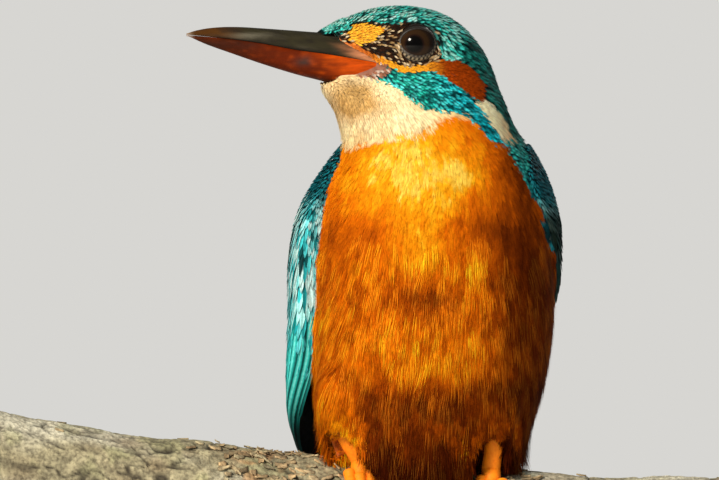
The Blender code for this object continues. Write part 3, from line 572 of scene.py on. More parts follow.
def coat_flow(points, normals):
    """The direction in which the feathers lie, along the surface."""
    f, l, u = to_head(points)
    left, forward, h = to_body(points)
    # Head: back from the bill, down at the nape and the throat, and parted round the eye.
    fall = 0.12 + 0.42 * ease(f, 6.0, -6.0) + 0.5 * ease(f, -8.0, -22.0)
    fall = fall + 1.5 * ease(u, -9.0, -15.0) * ease(f, -8.0, 4.0) + 0.5 * ease(u, -16.0, -22.0)
    fall = fall + 0.5 * ease(u, -6.0, -9.0) * ease(f, -14.0, -8.0)
    rise = 0.35 * ease(f, 8.0, 18.0) * ease(u, -2.0, 2.0)
    flow = unit(stack(-np.ones_like(f), rise - fall))
    away = stack(f - EYE_RIM[0], u - EYE_RIM[1])
    distance = np.maximum(np.linalg.norm(away, axis=1), 4.0)
    toward = away / distance[:, None]
    pull = 16.0 / distance**2 * ease(u, 14.0, 9.0)
    part = 2 * np.sum(flow * toward, axis=1, keepdims=True) * toward - flow
    flow = flow - pull[:, None] * part
    wide = np.sign(l) * 0.14 * ease(u, -9.0, -15.0)
    head = flow[:, :1] * HEAD_AXES[0] + wide[:, None] * HEAD_AXES[1] + flow[:, 1:] * HEAD_AXES[2]
    # Body: down, a little outwards on the breast and backwards on the flanks.
    sideways = 0.22 * np.sin(np.clip(left / 20.0, -1.5, 1.5)) * ease(forward, 0.0, 10.0)
    backwards = -0.30 * ease(np.abs(left), 12.0, 26.0) - 0.35 * ease(h, 14.0, -6.0)
    body = sideways[:, None] * BODY_AXES[0] + backwards[:, None] * BODY_AXES[1] - BODY_AXES[2]
    body = body + 0.16 * stack(soft_noise(points, 6.0, 8), soft_noise(points, 6.0, 9), 0 * h)
    # Wing: along lines that keep their share of its breadth.
    angle = round_angle(left, forward, np.clip(h, -12, 72))
    high = np.clip(h, -8.0, 70.0)
    front, back = edges_beside(left, high)
    share = np.clip((angle - front) / (back - front), 0, 1)
    low_front, low_back = edges_beside(left, high - 4.0)
    low_angle = low_front + (low_back - low_front) * share
    on_wing = (angle > front - 3) & (angle < back + 2) & (h > 18) & (h < 72)
    for side, sign in SIDES.items():
        here = wing_point(side, front + (back - front) * share, high, 0.0)
        there = wing_point(side, low_angle, high - 4.0, 0.0)
        use = on_wing & (left * sign > 0)
        body = np.where(use[:, None], unit(there - here), body)
    mix = ease(h, 66.0, 76.0)
    mixed = unit(body) * (1 - mix[:, None]) + unit(head) * mix[:, None]
    return flattened(mixed, normals)


# Meshes.


def clear_selection():
    bpy.ops.object.select_all(action="DESELECT")


def make_active(target):
    clear_selection()
    target.select_set(True)
    bpy.context.view_layer.objects.active = target


@contextlib.contextmanager
def edited(mesh):
    """A mesh opened for editing, written back at the end."""
    bm = bmesh.new()
    bm.from_mesh(mesh)
    yield bm
    bm.to_mesh(mesh)
    bm.free()


def put_on_body(made, slot, *replaced):
    """Rides a piece on the one body, in place of these solids; the slot is not used."""
    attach(made, "root")
    if replaced:
        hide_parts(*replaced)
    return made


def new_piece(name, mesh, material, slot, *replaced):
    made = bpy.data.objects.new(name, mesh)
    bpy.context.scene.collection.objects.link(made)
    mesh.materials.clear()
    mesh.materials.append(material)
    return put_on_body(made, slot, *replaced)


def array_mesh(name, vertices, faces):
    """A mesh from arrays, in metres from millimetres, whose faces all have as many corners."""
    mesh = bpy.data.meshes.new(name)
    faces = np.asarray(faces, np.int32)
    corners = faces.shape[1]
    mesh.vertices.add(len(vertices))
    mesh.vertices.foreach_set("co", (np.asarray(vertices, float) * MM).astype(np.float32).ravel())
    mesh.loops.add(faces.size)
    mesh.loops.foreach_set("vertex_index", faces.ravel())
    mesh.polygons.add(len(faces))
    mesh.polygons.foreach_set("loop_start", np.arange(0, faces.size, corners, dtype=np.int32))
    mesh.update(calc_edges=True)
    mesh.validate()
    mesh.shade_smooth()
    return mesh


def read(rows, field, width, kind=float):
    """One field of many mesh elements, as an array with a row for each."""
    flat = np.zeros(len(rows) * width, kind)
    rows.foreach_get(field, flat)
    return flat.reshape(-1, width)


def put_colours(mesh, colours):
    layer = mesh.color_attributes.new(name="tint", type="FLOAT_COLOR", domain="POINT")
    rgba = np.ones((len(mesh.vertices), 4), np.float32)
    rgba[:, :3] = np.clip(colours, 0.0, 1.0)
    layer.data.foreach_set("color", rgba.ravel())


def put_uv(mesh, name, uv):
    """A UV map with one place for each vertex."""
    index = read(mesh.loops, "vertex_index", 1, np.int32)[:, 0]
    mesh.uv_layers.new(name=name).data.foreach_set("uv", uv[index].astype(np.float32).ravel())


def grid_faces(rows, columns, closed=False):
    """Quads over a grid of rows by columns of points, closed round its columns or not."""
    r, c = np.meshgrid(np.arange(rows - 1), np.arange(columns if closed else columns - 1), indexing="ij")
    r, c = r.ravel(), c.ravel()
    d = (c + 1) % columns
    return np.stack([r * columns + c, r * columns + d, (r + 1) * columns + d, (r + 1) * columns + c], axis=1)


def joined(parts):
    """Many (vertices, faces, colours) as one."""
    vertices, faces, colours, start = [], [], [], 0
    for v, f, c in parts:
        vertices.append(v)
        faces.append(np.asarray(f) + start)
        colours.append(np.broadcast_to(c, (len(v), 3)))
        start += len(v)
    return np.concatenate(vertices), np.concatenate(faces), np.concatenate(colours)


def halved(quads):
    """Each quad as two triangles."""
    return np.concatenate([quads[:, [0, 1, 2]], quads[:, [0, 2, 3]]])


def faced_out(mesh):
    with edited(mesh) as bm:
        bmesh.ops.recalc_face_normals(bm, faces=bm.faces)


def pushed(bm, distance):
    """Moves every vertex along its normal, by millimetres."""
    for v, place in [(v, v.co + v.normal * distance * MM) for v in bm.verts]:
        v.co = place


# Finishes.


def shader_tree(name):
    material = bpy.data.materials.new(name)
    material.use_nodes = True
    return material, material.node_tree, material.node_tree.nodes["Principled BSDF"]


def plug(tree, target, **values):
    """Sets a node's sockets and attributes; a socket takes a number, a colour or another node's socket."""
    for key, value in values.items():
        name = key.replace("_", " ")
        if name in target.inputs:
            socket = target.inputs[name]
        elif key.startswith("in") and key[2:].isdigit():
            socket = target.inputs[int(key[2:])]
        else:
            setattr(target, key, value)
            continue
        if isinstance(value, bpy.types.NodeSocket):
            tree.links.new(value, socket)
        else:
            socket.default_value = value
    return target


def node(tree, kind, **values):
    return plug(tree, tree.nodes.new("ShaderNode" + kind), **values)


def mottle_group():
    """Noise that darkens a colour, with the same noise put out as a height."""
    if "mottle" in bpy.data.node_groups:
        return bpy.data.node_groups["mottle"]
    group = bpy.data.node_groups.new("mottle", "ShaderNodeTree")
    face = group.interface
    for name, kind in (("Color", "Color"), ("Dark", "Color"), ("Vector", "Vector")):
        face.new_socket(name, in_out="INPUT", socket_type="NodeSocket" + kind)
    for name, value in (("Scale", 300.0), ("Detail", 3.0), ("Amount", 0.5), ("Low", 0.4), ("High", 0.7)):
        face.new_socket(name, in_out="INPUT", socket_type="NodeSocketFloat").default_value = value
    face.new_socket("Color", in_out="OUTPUT", socket_type="NodeSocketColor")
    face.new_socket("Height", in_out="OUTPUT", socket_type="NodeSocketFloat")
    given = group.nodes.new("NodeGroupInput").outputs
    noise = node(group, "TexNoise", Vector=given["Vector"], Scale=given["Scale"], Detail=given["Detail"])
    spread = node(group, "MapRange", in0=noise.outputs["Fac"], in1=given["Low"], in2=given["High"])
    share = node(group, "Math", operation="MULTIPLY", in0=spread.outputs[0], in1=given["Amount"])
    mix = node(group, "Mix", data_type="RGBA", in0=share.outputs[0], in6=given["Color"], in7=given["Dark"])
    plug(group, group.nodes.new("NodeGroupOutput"), Color=mix.outputs[2], Height=noise.outputs["Fac"])
    return group


def mottle(tree, colour, dark, vector, **values):
    made = tree.nodes.new("ShaderNodeGroup")
    made.node_tree = mottle_group()
    return plug(tree, made, Color=colour, Dark=(*dark, 1.0), Vector=vector, **values).outputs


def bumped(tree, height, strength, distance):
    return node(tree, "Bump", Strength=strength, Distance=distance, Height=height).outputs["Normal"]


def tint_and_place(tree):
    """A mesh's own tint, and the place on the object."""
    tint = node(tree, "Attribute", attribute_name="tint")
    return tint.outputs["Color"], node(tree, "TexCoord").outputs["Object"]


def plumage_finish(slot):
    """Feather: its own tint, mottled, with fine ribs across each vane; warm ones are softer than blue."""
    warm = slot == "plumage_orange"
    name = "plumage_warm" if warm else "plumage_blue"
    if name in bpy.data.materials:
        return bpy.data.materials[name]
    material, tree, shader = shader_tree(name)
    tint, place = tint_and_place(tree)
    dark = (0.30, 0.06, 0.003) if warm else (0.002, 0.02, 0.03)
    grain = mottle(tree, tint, dark, place, Scale=1500.0, Detail=2.0, Amount=0.10 if warm else 0.25)
    ribs = node(
        tree, "TexWave", Vector=node(tree, "UVMap", uv_map="Vane").outputs["UV"], Scale=2.0 if warm else 9.0,
        Distortion=1.5, bands_direction="X" if warm else "DIAGONAL",
    )
    plug(
        tree, shader, Base_Color=grain["Color"], Normal=bumped(tree, ribs.outputs["Fac"], 0.30, 0.00003),
        Roughness=0.75 if warm else 0.50, Specular_IOR_Level=0.02 if warm else 0.03,
    )
    return material


def skin_finish():
    material, tree, shader = shader_tree("bird_skin")
    tint, place = tint_and_place(tree)
    grain = mottle(tree, tint, (0.02, 0.01, 0.008), place, Scale=900.0)
    normal = bumped(tree, grain["Height"], 0.5, 0.0002)
    plug(tree, shader, Base_Color=grain["Color"], Normal=normal, Roughness=0.8)
    return material


def tinted_finish(name, roughness, dark, scale, amount, distance, coat=0.0, stretch=None, detail=4.0,
                  specular=0.4):
    """A surface that takes its markings from its tint, with grain drawn out one way if asked."""
    material, tree, shader = shader_tree(name)
    tint, vector = tint_and_place(tree)
    if stretch is not None:
        turn, sizes = stretch
        vector = node(tree, "Mapping", Vector=vector, Rotation=turn, Scale=sizes).outputs["Vector"]
    grain = mottle(tree, tint, dark, vector, Scale=scale, Detail=detail, Amount=amount, Low=0.42, High=0.66)
    rough = node(tree, "MapRange", in0=grain["Height"], in1=0.3, in2=0.7, in3=roughness[0], in4=roughness[1])
    plug(
        tree, shader, Base_Color=grain["Color"], Normal=bumped(tree, grain["Height"], 0.6, distance),
        Roughness=rough.outputs[0], Specular_IOR_Level=specular, Coat_Weight=coat, Coat_Roughness=0.15,
    )
    return material


# Skin.


SKIN = {}


def core_rings():
    """The root of the bill, a little smaller, so that the skin runs on under it."""
    rings = []
    angles = np.linspace(0, 2 * math.pi, 24, endpoint=False)
    for f in np.linspace(2.0, 16.0, 10):
        top, bottom, line = culmen(f) - 0.15, gonys(f) + 0.15, bill_axis(f)
        half = bill_half_width(f) - 0.15
        up = np.where(np.cos(angles) > 0, top - line, line - bottom) * np.cos(angles)
        rings.append(from_head(f, half * np.sin(angles), line + up))
    return rings


def tube(bm, rings):
    """Faces between rings of points, in metres."""
    rows = [[bm.verts.new(point) for point in ring] for ring in rings]
    count = len(rows[0])
    for near, far in zip(rows, rows[1:]):
        for i in range(count):
            j = (i + 1) % count
            bm.faces.new((near[i], near[j], far[j], far[i]))
    return rows


def applied(piece, kind, **values):
    """A modifier, set and applied at once."""
    modifier = piece.modifiers.new(kind.lower(), kind)
    for key, value in values.items():
        setattr(modifier, key, value)
    bpy.ops.object.modifier_apply(modifier=modifier.name)


def build_skin(settings):
    """One skin over head, body, thighs and wings: solids grown together, sunk by the coat's depth."""
    bm = bmesh.new()
    for name in FLESH:
        bm.from_mesh(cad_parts[name].data)
    bmesh.ops.remove_doubles(bm, verts=bm.verts, dist=0.01 * MM)
    bmesh.ops.recalc_face_normals(bm, faces=bm.faces)
    bm.normal_update()
    pushed(bm, 0.24)
    core = bmesh.new()
    rows = tube(core, [[Vector(p) * MM for p in ring] for ring in core_rings()])
    core.faces.new(rows[0])
    core.faces.new(rows[-1][::-1])
    for side in SIDES:
        low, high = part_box(f"eye_{side}")
        radius = (high.z - low.z) / 2 - 0.1 * MM
        made = bmesh.ops.create_uvsphere(core, u_segments=24, v_segments=16, radius=radius)
        bmesh.ops.translate(core, verts=made["verts"], vec=(low + high) / 2)
    bmesh.ops.recalc_face_normals(core, faces=core.faces)
    extra = bpy.data.meshes.new("core")
    core.to_mesh(extra)
    core.free()
    bm.from_mesh(extra)
    mesh = bpy.data.meshes.new("skin")
    bm.to_mesh(mesh)
    bm.free()
    skin = new_piece("skin", mesh, skin_finish(), "plumage_orange", *FLESH)
    make_active(skin)
    applied(skin, "REMESH", mode="VOXEL", voxel_size=settings.skin_grain)
    applied(skin, "SMOOTH", factor=0.5, iterations=6)
    mesh = skin.data
    points = read(mesh.vertices, "co", 3) / MM
    points = points - read(mesh.vertices, "normal", 3) * (coat_depth(points)[:, None] + 0.2)
    mesh.vertices.foreach_set("co", (points * MM).ravel())
    mesh.update()
    applied(skin, "SMOOTH", factor=0.4, iterations=2)
    mesh = skin.data
    bpy.ops.object.mode_set(mode="EDIT")
    bpy.ops.mesh.select_all(action="SELECT")
    bpy.ops.uv.smart_project(angle_limit=math.radians(70.0), island_margin=0.004)
    bpy.ops.object.mode_set(mode="OBJECT")
    mesh.uv_layers[0].name = "OFBake"
    mesh.shade_smooth()
    points = read(mesh.vertices, "co", 3) / MM
    kind = plumage_kind(points, 0.0)
    covered, shown = plumage_colours(points, kind, settings)
    put_colours(mesh, blend(covered, shown, np.where(np.isin(kind, WARM_KINDS), 0.6, 0.2)))
    mesh.calc_loop_triangles()
    corners = read(mesh.loop_triangles, "loops", 3, np.int32)
    SKIN["points"] = points
    SKIN["normals"] = read(mesh.vertices, "normal", 3)
    SKIN["triangles"] = read(mesh.loop_triangles, "vertices", 3, np.int32)
    SKIN["uv"] = read(mesh.uv_layers[0].data, "uv", 2, np.float32)[corners]
    SKIN["tree"] = BVHTree.FromPolygons(points.tolist(), SKIN["triangles"].tolist(), all_triangles=True)


# Feathers.


def scatter(seed, spacing, wanted):
    """Roots over the skin, at least spacing(point) apart, where wanted(points) holds."""
    rng = np.random.default_rng(seed)
    points, triangles = SKIN["points"], SKIN["triangles"]
    a, b, c = (points[triangles[:, k]] for k in range(3))
    middle = (a + b + c) / 3
    areas = np.linalg.norm(np.cross(b - a, c - a), axis=1) / 2 * wanted(middle, grow=True)
    weight = areas / spacing(middle) ** 2
    count = int(weight.sum() * 5.0)
    pick = rng.choice(len(areas), size=count, p=weight / weight.sum())
    r1, r2 = np.sqrt(rng.random(count)), rng.random(count)
    w = np.stack([1 - r1, r1 * (1 - r2), r1 * r2], axis=1)
    roots = a[pick] * w[:, :1] + b[pick] * w[:, 1:2] + c[pick] * w[:, 2:]
    normals = unit(np.sum(SKIN["normals"][triangles[pick]] * w[:, :, None], axis=1))
    uv = np.sum(SKIN["uv"][pick] * w[:, :, None], axis=1)
    held = wanted(roots, grow=False)
    roots, normals, uv = roots[held], normals[held], uv[held]
    gaps = spacing(roots)
    keys = np.floor(roots / float(gaps.max())).astype(int)
    around = [(x, y, z) for x in (-1, 0, 1) for y in (-1, 0, 1) for z in (-1, 0, 1)]
    kept, taken = [], {}
    for i, ((kx, ky, kz), (x, y, z)) in enumerate(zip(keys.tolist(), roots.tolist())):
        limit = gaps[i] ** 2
        near = (taken.get((kx + dx, ky + dy, kz + dz), ()) for dx, dy, dz in around)
        if all((qx - x) ** 2 + (qy - y) ** 2 + (qz - z) ** 2 >= limit for lot in near for qx, qy, qz in lot):
            kept.append(i)
            taken.setdefault((kx, ky, kz), []).append((x, y, z))
    return roots[kept], normals[kept], uv[kept]


def trace(roots, directions, lengths):
    """Three points and normals along the skin from each root."""
    places, normals = np.zeros((2, len(roots), 3, 3))
    places[:, 0] = roots
    steps = directions
    for k in range(3):
        goal = places[:, k - 1] + steps * (lengths / 2)[:, None] if k else roots
        found = [SKIN["tree"].find_nearest(g) for g in goal.tolist()]
        if k:
            places[:, k] = [f[0] for f in found]
        normals[:, k] = unit(SKIN["normals"][SKIN["triangles"][[f[2] for f in found]]].mean(axis=1))
        steps = flattened(steps, normals[:, k])
    return places, normals


def scale_shape(rng, columns=5, rows=(0.0, 0.4, 0.72, 0.9), fringe=7):
    """A small cupped feather: a vane with a ragged tip. Each vertex is (across, aside, along, bare, cup)."""
    vertices, faces = [], []
    for i, s in enumerate(rows):
        for a in np.linspace(-1, 1, columns):
            wide = 0.42 + 0.58 * math.sin(min(1.0, s / 0.62) * math.pi / 2)
            end = 1.0 - 0.20 * a * a
            vertices.append((a * wide, 0.0, s * end, 1.0 if i == len(rows) - 1 else 0.0, a))
    for r in range(len(rows) - 1):
        for c in range(columns - 1):
            k = r * columns + c
            faces.append((k, k + 1, k + columns + 1))
            faces.append((k, k + columns + 1, k + columns))
    for i in range(fringe):
        a = -0.92 + 1.84 * i / (fringe - 1) + rng.uniform(-0.06, 0.06)
        base = rows[-1] * (1 - 0.20 * a * a) - 0.05
        top = (1.0 + rng.uniform(-0.05, 0.14)) * (1 - 0.20 * a * a)
        k = len(vertices)
        half = 0.92 / fringe
        vertices.append((a - half, 0.0, base, 1.0, a))
        vertices.append((a + half, 0.0, base, 1.0, a))
        vertices.append((a * 1.04 + rng.uniform(-0.05, 0.05), 0.0, top, 1.4, a))
        faces.append((k, k + 1, k + 2))
    return np.array(vertices), np.array(faces)


def barb(x, start, end, bend, shade, spread, widths, glint=0.0):
    """One barb: two pairs of vertices and a tip, each (across, aside, along, bare, cup)."""
    line = []
    for t, wide in zip((0.0, 0.55), widths):
        a = x * spread(t) + bend * t * t
        along = start + (end - start) * t
        line += [(a, -wide, along, shade, x), (a, wide, along, shade, x)]
    return line + [(x + bend, 0.0, end, shade + glint, x)]


def barbs(lines):
    """Barbs as vertices and faces."""
    faces = np.arange(0, 5 * len(lines), 5)[:, None, None] + np.array([(0, 1, 3), (0, 3, 2), (2, 3, 4)])
    return np.array(lines).reshape(-1, 5), faces.reshape(-1, 3)


def tuft_shape(rng, count=13, thick=0.085):
    """A loose feather: barbs that leave a shaft and bend towards the tip."""
    lines = []
    for i in range(count):
        x = -1 + 2 * i / (count - 1) + rng.uniform(-0.06, 0.06)
        start = 0.05 + 0.5 * (1 - abs(x)) * rng.uniform(0.7, 1.0)
        end = 1.0 - 0.30 * x * x + rng.uniform(-0.12, 0.08)
        bend, shade = rng.uniform(-0.1, 0.1), rng.uniform(-0.25, 0.25)
        widths = (thick * 0.75, thick)
        lines.append(barb(x, start, end, bend, shade, lambda t: math.sin(t * math.pi / 2), widths, 0.15))
    return barbs(lines)


def lock_shape(rng, count=11, thick=0.055):
    """A lock of fine barbs side by side that part a little at their tips."""
    lines = []
    for i in range(count):
        x = -1 + 2 * i / (count - 1) + rng.uniform(-0.10, 0.10)
        start, end = rng.uniform(0.0, 0.30), 1.0 - 0.20 * x * x + rng.uniform(-0.22, 0.10)
        bend, shade = rng.uniform(-0.14, 0.14), rng.uniform(-0.9, 0.9)
        lines.append(barb(x, start, end, bend, shade, lambda t: 0.62 + 0.38 * t, (thick * 0.9, thick)))
    return barbs(lines)


def hair_shape(rng, count=4, thick=0.040):
    """A few single long barbs, apart from each other."""
    lines = []
    for i in range(count):
        x = -1 + 2 * (i + rng.uniform(0.1, 0.9)) / count
        start, end = rng.uniform(0.05, 0.35), rng.uniform(0.80, 1.05)
        bend, shade = rng.uniform(-0.22, 0.22), rng.uniform(-0.5, 0.9)
        lines.append(barb(x, start, end, bend, shade, lambda t: 0.7 + 0.3 * t, (thick, thick)))
    return barbs(lines)


def vane_shape(rng, columns=7, rows=9, splits=3):
    """A larger firm feather with a shaft and a few splits in its edge."""
    vertices, faces = [], []
    cuts = {int(c) for c in rng.choice(np.arange(3, rows - 1), size=splits, replace=False)}
    shift = rng.uniform(-0.04, 0.04)
    for r in range(rows):
        s = r / (rows - 1)
        wide = 0.40 + 0.60 * math.sin(min(1.0, s / 0.5) * math.pi / 2)
        wide *= (1 - max(0.0, (s - 0.55) / 0.45) ** 2.6 * 0.62)
        for c in range(columns):
            a = -1 + 2 * c / (columns - 1)
            back = 0.10 * abs(a) ** 1.5
            nick = -0.09 if r in cuts and c in (0, columns - 1) else 0.0
            tip = 1.0 - 0.14 * a * a if s > 0.9 else 1.0
            reach = max(0.0, s * tip - back * (s < 0.9) * s)
            vertices.append((a * (wide + nick) + shift * s, 0.0, reach, 0.0, a))
    for r in range(rows - 1):
        for c in range(columns - 1):
            k = r * columns + c
            faces.append((k, k + 1, k + columns + 1))
            faces.append((k, k + columns + 1, k + columns))
    return np.array(vertices), np.array(faces)


def foot_fringe(points):
    """Where feathers hang straight down at the coat's rim, and how long they may be over the shanks."""
    over = points[:, 2] - perch_middle(points[:, 0]) - perch_radius(points[:, 0])
    hang = ease(over + 2.2 * soft_noise(points, 1.6, 23), 15.0, 5.0) * (points[:, 1] < 12.0)
    longest = np.full(len(points), 99.0)
    for side, x in FOOT_X.items():
        middle = x + (HEEL[side][0] - x) * np.clip(over / 9.0, 0, 1)
        away = np.abs(points[:, 0] - middle + 1.0) / 4.3
        before = (away < 1.0) & (points[:, 1] < -6.0) & (over < 15.0)
        bare_to = 6.8 - 4.4 * away**2 + 1.8 * soft_noise(points, 0.9, 24)
        longest = np.where(before, np.maximum(over - bare_to, 0.5), longest)
    return hang, longest


def flat_arrays(*parts):
    """Arrays of any shape as lists of rows."""
    return [np.reshape(part, (-1, part.shape[-1])) for part in parts]


def shaped(shape, faces, place, colour, soft, uv):
    """Feathers of one shape, each on a small patch round its root on the unwrap of the skin."""
    s, edge = shape[:, 2], shape[:, 4]
    patch = uv[:, None] + np.stack([edge * PATCH / 2, (s - 0.5) * PATCH], axis=-1)
    vane = np.broadcast_to(np.stack([edge, s], axis=-1), patch.shape)
    tri = faces + (np.arange(len(place)) * len(shape))[:, None, None]
    return flat_arrays(place, tri, np.broadcast_to(colour, place.shape), soft, patch, vane)


def put_feathers(name, pieces, slot, replaced=()):
    """Joins feather arrays into pieces of a moderate number of triangles."""
    columns = list(zip(*pieces))
    starts = np.cumsum([0] + [len(vertices) for vertices in columns[0]])
    columns[1] = [faces + start for faces, start in zip(columns[1], starts)]
    vertices, faces, colours, softs, patches, vanes = (np.concatenate(column) for column in columns)
    a, b, c = (vertices[faces[:, k]] for k in range(3))
    inwards = np.sum(np.cross(b - a, c - a) * softs[faces].sum(axis=1), axis=1) < 0
    faces[inwards] = faces[inwards][:, ::-1]
    parts = max(1, math.ceil(len(faces) / MOST_TRIANGLES))
    for k, chunk in enumerate(np.array_split(np.arange(len(faces)), parts)):
        used, tri = np.unique(faces[chunk], return_inverse=True)
        piece_name = name if parts == 1 else f"{name}_{k + 1}"
        mesh = array_mesh(piece_name, vertices[used], tri.reshape(-1, 3))
        put_colours(mesh, colours[used])
        put_uv(mesh, "OFBake", patches[used])
        put_uv(mesh, "Vane", vanes[used])
        mesh.normals_split_custom_set_from_vertices(softs[used].tolist())
        new_piece(piece_name, mesh, plumage_finish(slot), slot, *(replaced if k == 0 else ()))


def bare_place(points):
    """Where no feather may be rooted: the eye and its lids, the bill, and what the perch touches."""
    f, l, u = to_head(points)
    bare = inside(BILL_ROOM, f, u) & (u < culmen(f) + 0.4) & (u > gonys(f) - 0.6)
    for side in SIDES:
        low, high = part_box(f"eye_{side}")
        away = np.linalg.norm(points - np.array((low + high) / 2) / MM, axis=1)
        bare |= away < (high.z - low.z) / 2 / MM + 0.18
    x = points[:, 0]
    return bare | (np.hypot(points[:, 1], points[:, 2] - perch_middle(x)) < perch_radius(x) + 1.7)


def wants(*names, test=None):
    """A rule for scatter: these kinds of plumage, off the bare places."""
    codes = [KIND[name] for name in names]

    def rule(points, grow):
        held = np.ones(len(points), bool) if test is None else test(points)
        if grow:
            return held.astype(float)
        return np.isin(plumage_kind(points), codes) & ~bare_place(points) & held

    return rule


def lay(settings, name, seed, names, spacing, shapes, length, width, slot, profile, cup=0.25, test=None,
        depth=1.0, adjust=None, root_lift=0.06, rounding=0.45, vary=0.09, contrast=None):
    """Covers the skin with one kind of feather, bent along the coat, where these plumages grow."""
    roots, normals, uv = scatter(seed, lambda p: spacing(p) * settings.spacing, wants(*names, test=test))
    kind = plumage_kind(roots)
    covered, shown = plumage_colours(roots, kind, settings)
    if adjust is not None:
        covered, shown = adjust(roots, kind, covered, shown)
    rng = np.random.default_rng(seed)
    count = len(roots)
    flow = coat_flow(roots, normals)
    swing = rng.normal(0.0, 0.06, count) + 0.12 * soft_noise(roots, 3.4, 21)
    flow = unit(flow + np.cross(normals, flow) * swing[:, None])
    long = length(roots) * settings.length * rng.uniform(0.86, 1.14, count)
    wide = width(roots) * settings.width * rng.uniform(0.9, 1.1, count)
    hang, longest = foot_fringe(roots)
    long = np.minimum(long, longest)
    places, out = trace(roots, flow, long)
    down = unit(np.array([0.0, -0.10, -1.0]) + 0.10 * rng.normal(0.0, 1.0, (count, 3)))
    straight = roots[:, None] + down[:, None] * long[:, None, None] * np.array([0.0, 0.5, 1.0])[:, None]
    places = blend(places, straight, hang[:, None])
    out = unit(blend(out, unit(normals * (1.0, 1.0, 0.5) + 1e-6)[:, None], hang[:, None]))
    lift = coat_depth(places[:, 2]) * depth * rng.uniform(0.78, 1.02, count)
    lift = lift * (1 + 0.12 * soft_noise(roots, 2.6, 22))
    variant = rng.integers(0, len(shapes), count)
    contrast = np.broadcast_to(CONTRAST if contrast is None else contrast(roots), count)
    light = 1.0 + rng.normal(0.0, vary, count) * contrast / CONTRAST
    pieces = []
    for v, (shape, faces) in enumerate(shapes):
        pick = np.nonzero(variant == v)[0]
        a, b, s, bare, edge = shape.T
        p0, p1, p2 = (places[pick, k][:, None] for k in range(3))
        n0, n1, n2 = (out[pick, k][:, None] for k in range(3))
        t = s[:, None]
        q0, q1, q2 = (1 - t) * (1 - 2 * t), 4 * t * (1 - t), t * (2 * t - 1)
        up = unit(n0 * q0 + n1 * q1 + n2 * q2)
        run = unit(p0 * (4 * t - 3) + p1 * (4 - 8 * t) + p2 * (4 * t - 1))
        across = np.cross(run, up)
        half = wide[pick][:, None]
        rise = root_lift + (lift[pick][:, None] - root_lift) * np.clip(s, 0, 1) ** 0.85
        rise = np.maximum(rise - cup * half * edge**2 * np.clip(s * 1.6, 0, 1), 0.02)
        place = p0 * q0 + p1 * q1 + p2 * q2 + across * (a * half + b)[..., None] + up * rise[..., None]
        soft = unit(up + across * (rounding * edge)[:, None] + run * 0.12)
        colour = blend(covered[pick][:, None], shown[pick][:, None], profile(s, edge, bare))
        glow = light[pick][:, None] * (1 + contrast[pick][:, None] * np.where(np.abs(bare) < 1.0, bare, 0.0))
        pieces.append(shaped(shape, faces, place, np.clip(colour * glow[..., None], 0, 1), soft, uv[pick]))
    put_feathers(name, pieces, slot)


def barred(s, edge, bare):
    """Dark feather with a bright bar before its tip."""
    bar = ease(s, 0.50, 0.62) * (1 - 0.9 * ease(s, 0.80, 0.92))
    return bar * (1 - 0.92 * np.abs(edge) ** 2.2) * np.where(bare > 1.2, 0.35, 1.0)


def tipped(s, edge, bare):
    """Dark feather with a bright narrow end, deeper on one side."""
    end = ease(s, 0.42, 0.60) * (1 - 0.9 * np.abs(edge) ** 3) * (1 - 0.35 * ease(edge, -0.3, 0.6))
    return end * np.where(bare > 1.2, 0.5, 1.0)


def plain(s, edge, bare):
    return np.clip(0.35 + 0.75 * s, 0, 1) + 0 * edge


def build_head_scales(settings):
    """Crown, nape and malar stripe."""
    rng = np.random.default_rng(3)
    shapes = [scale_shape(rng, 3, (0.0, 0.4, 0.72, 0.9), 5) for _ in range(8)]

    def spacing(p):
        f, l, u = to_head(p)
        return 0.52 + 0.26 * ease(f, 0.0, -18.0) - 0.08 * ease(f, 6.0, 16.0)

    def length(p):
        f, l, u = to_head(p)
        return 2.4 + 1.5 * ease(f, 0.0, -18.0) - 0.9 * ease(f, 4.0, 16.0)

    def brighten(roots, kind, covered, shown):
        f, l, u = to_head(roots)
        chance = np.random.default_rng(42).normal(0.0, 1.0, len(roots))
        spots = soft_noise(roots, 1.3, 31) + 0.35 * chance
        # Painted highlight: towards the front of the crown, fore makes the pale flecks, the crown's own
        # bars, more frequent and paler.
        fore = ease(f, -6.0, 8.0)
        extra = 0.1 + 0.22 * fore * (kind == KIND["crown"])
        pale = np.clip(spots * 1.8 + extra, 0, 1) * (0.60 + 0.38 * fore) * (kind != KIND["nape"])
        tone = np.where((kind == KIND["malar"])[:, None], (0.10, 0.80, 0.82), (0.55, 1.00, 0.88))
        shown = blend(shown, tone, pale)
        slit = np.exp(-(((u + 11.1) / 0.45) ** 2)) * ease(f, -11.0, -9.5) * ease(f, -4.0, -5.5)
        deep = 0.8 + 0.12 * (kind == KIND["crown"])
        dark = np.clip(np.clip(-spots * 1.6 - 0.1, 0, 1) * deep + slit * 1.2, 0, 1)
        return covered, blend(shown, covered, dark)

    lay(
        settings, "head_scales", 11, ("crown", "nape", "malar"), spacing, shapes, length,
        lambda p: length(p) * 0.15, "plumage_teal", tipped, cup=0.30, adjust=brighten, depth=1.05, vary=0.24,
    )
    lay_forehead(settings, shapes, brighten)


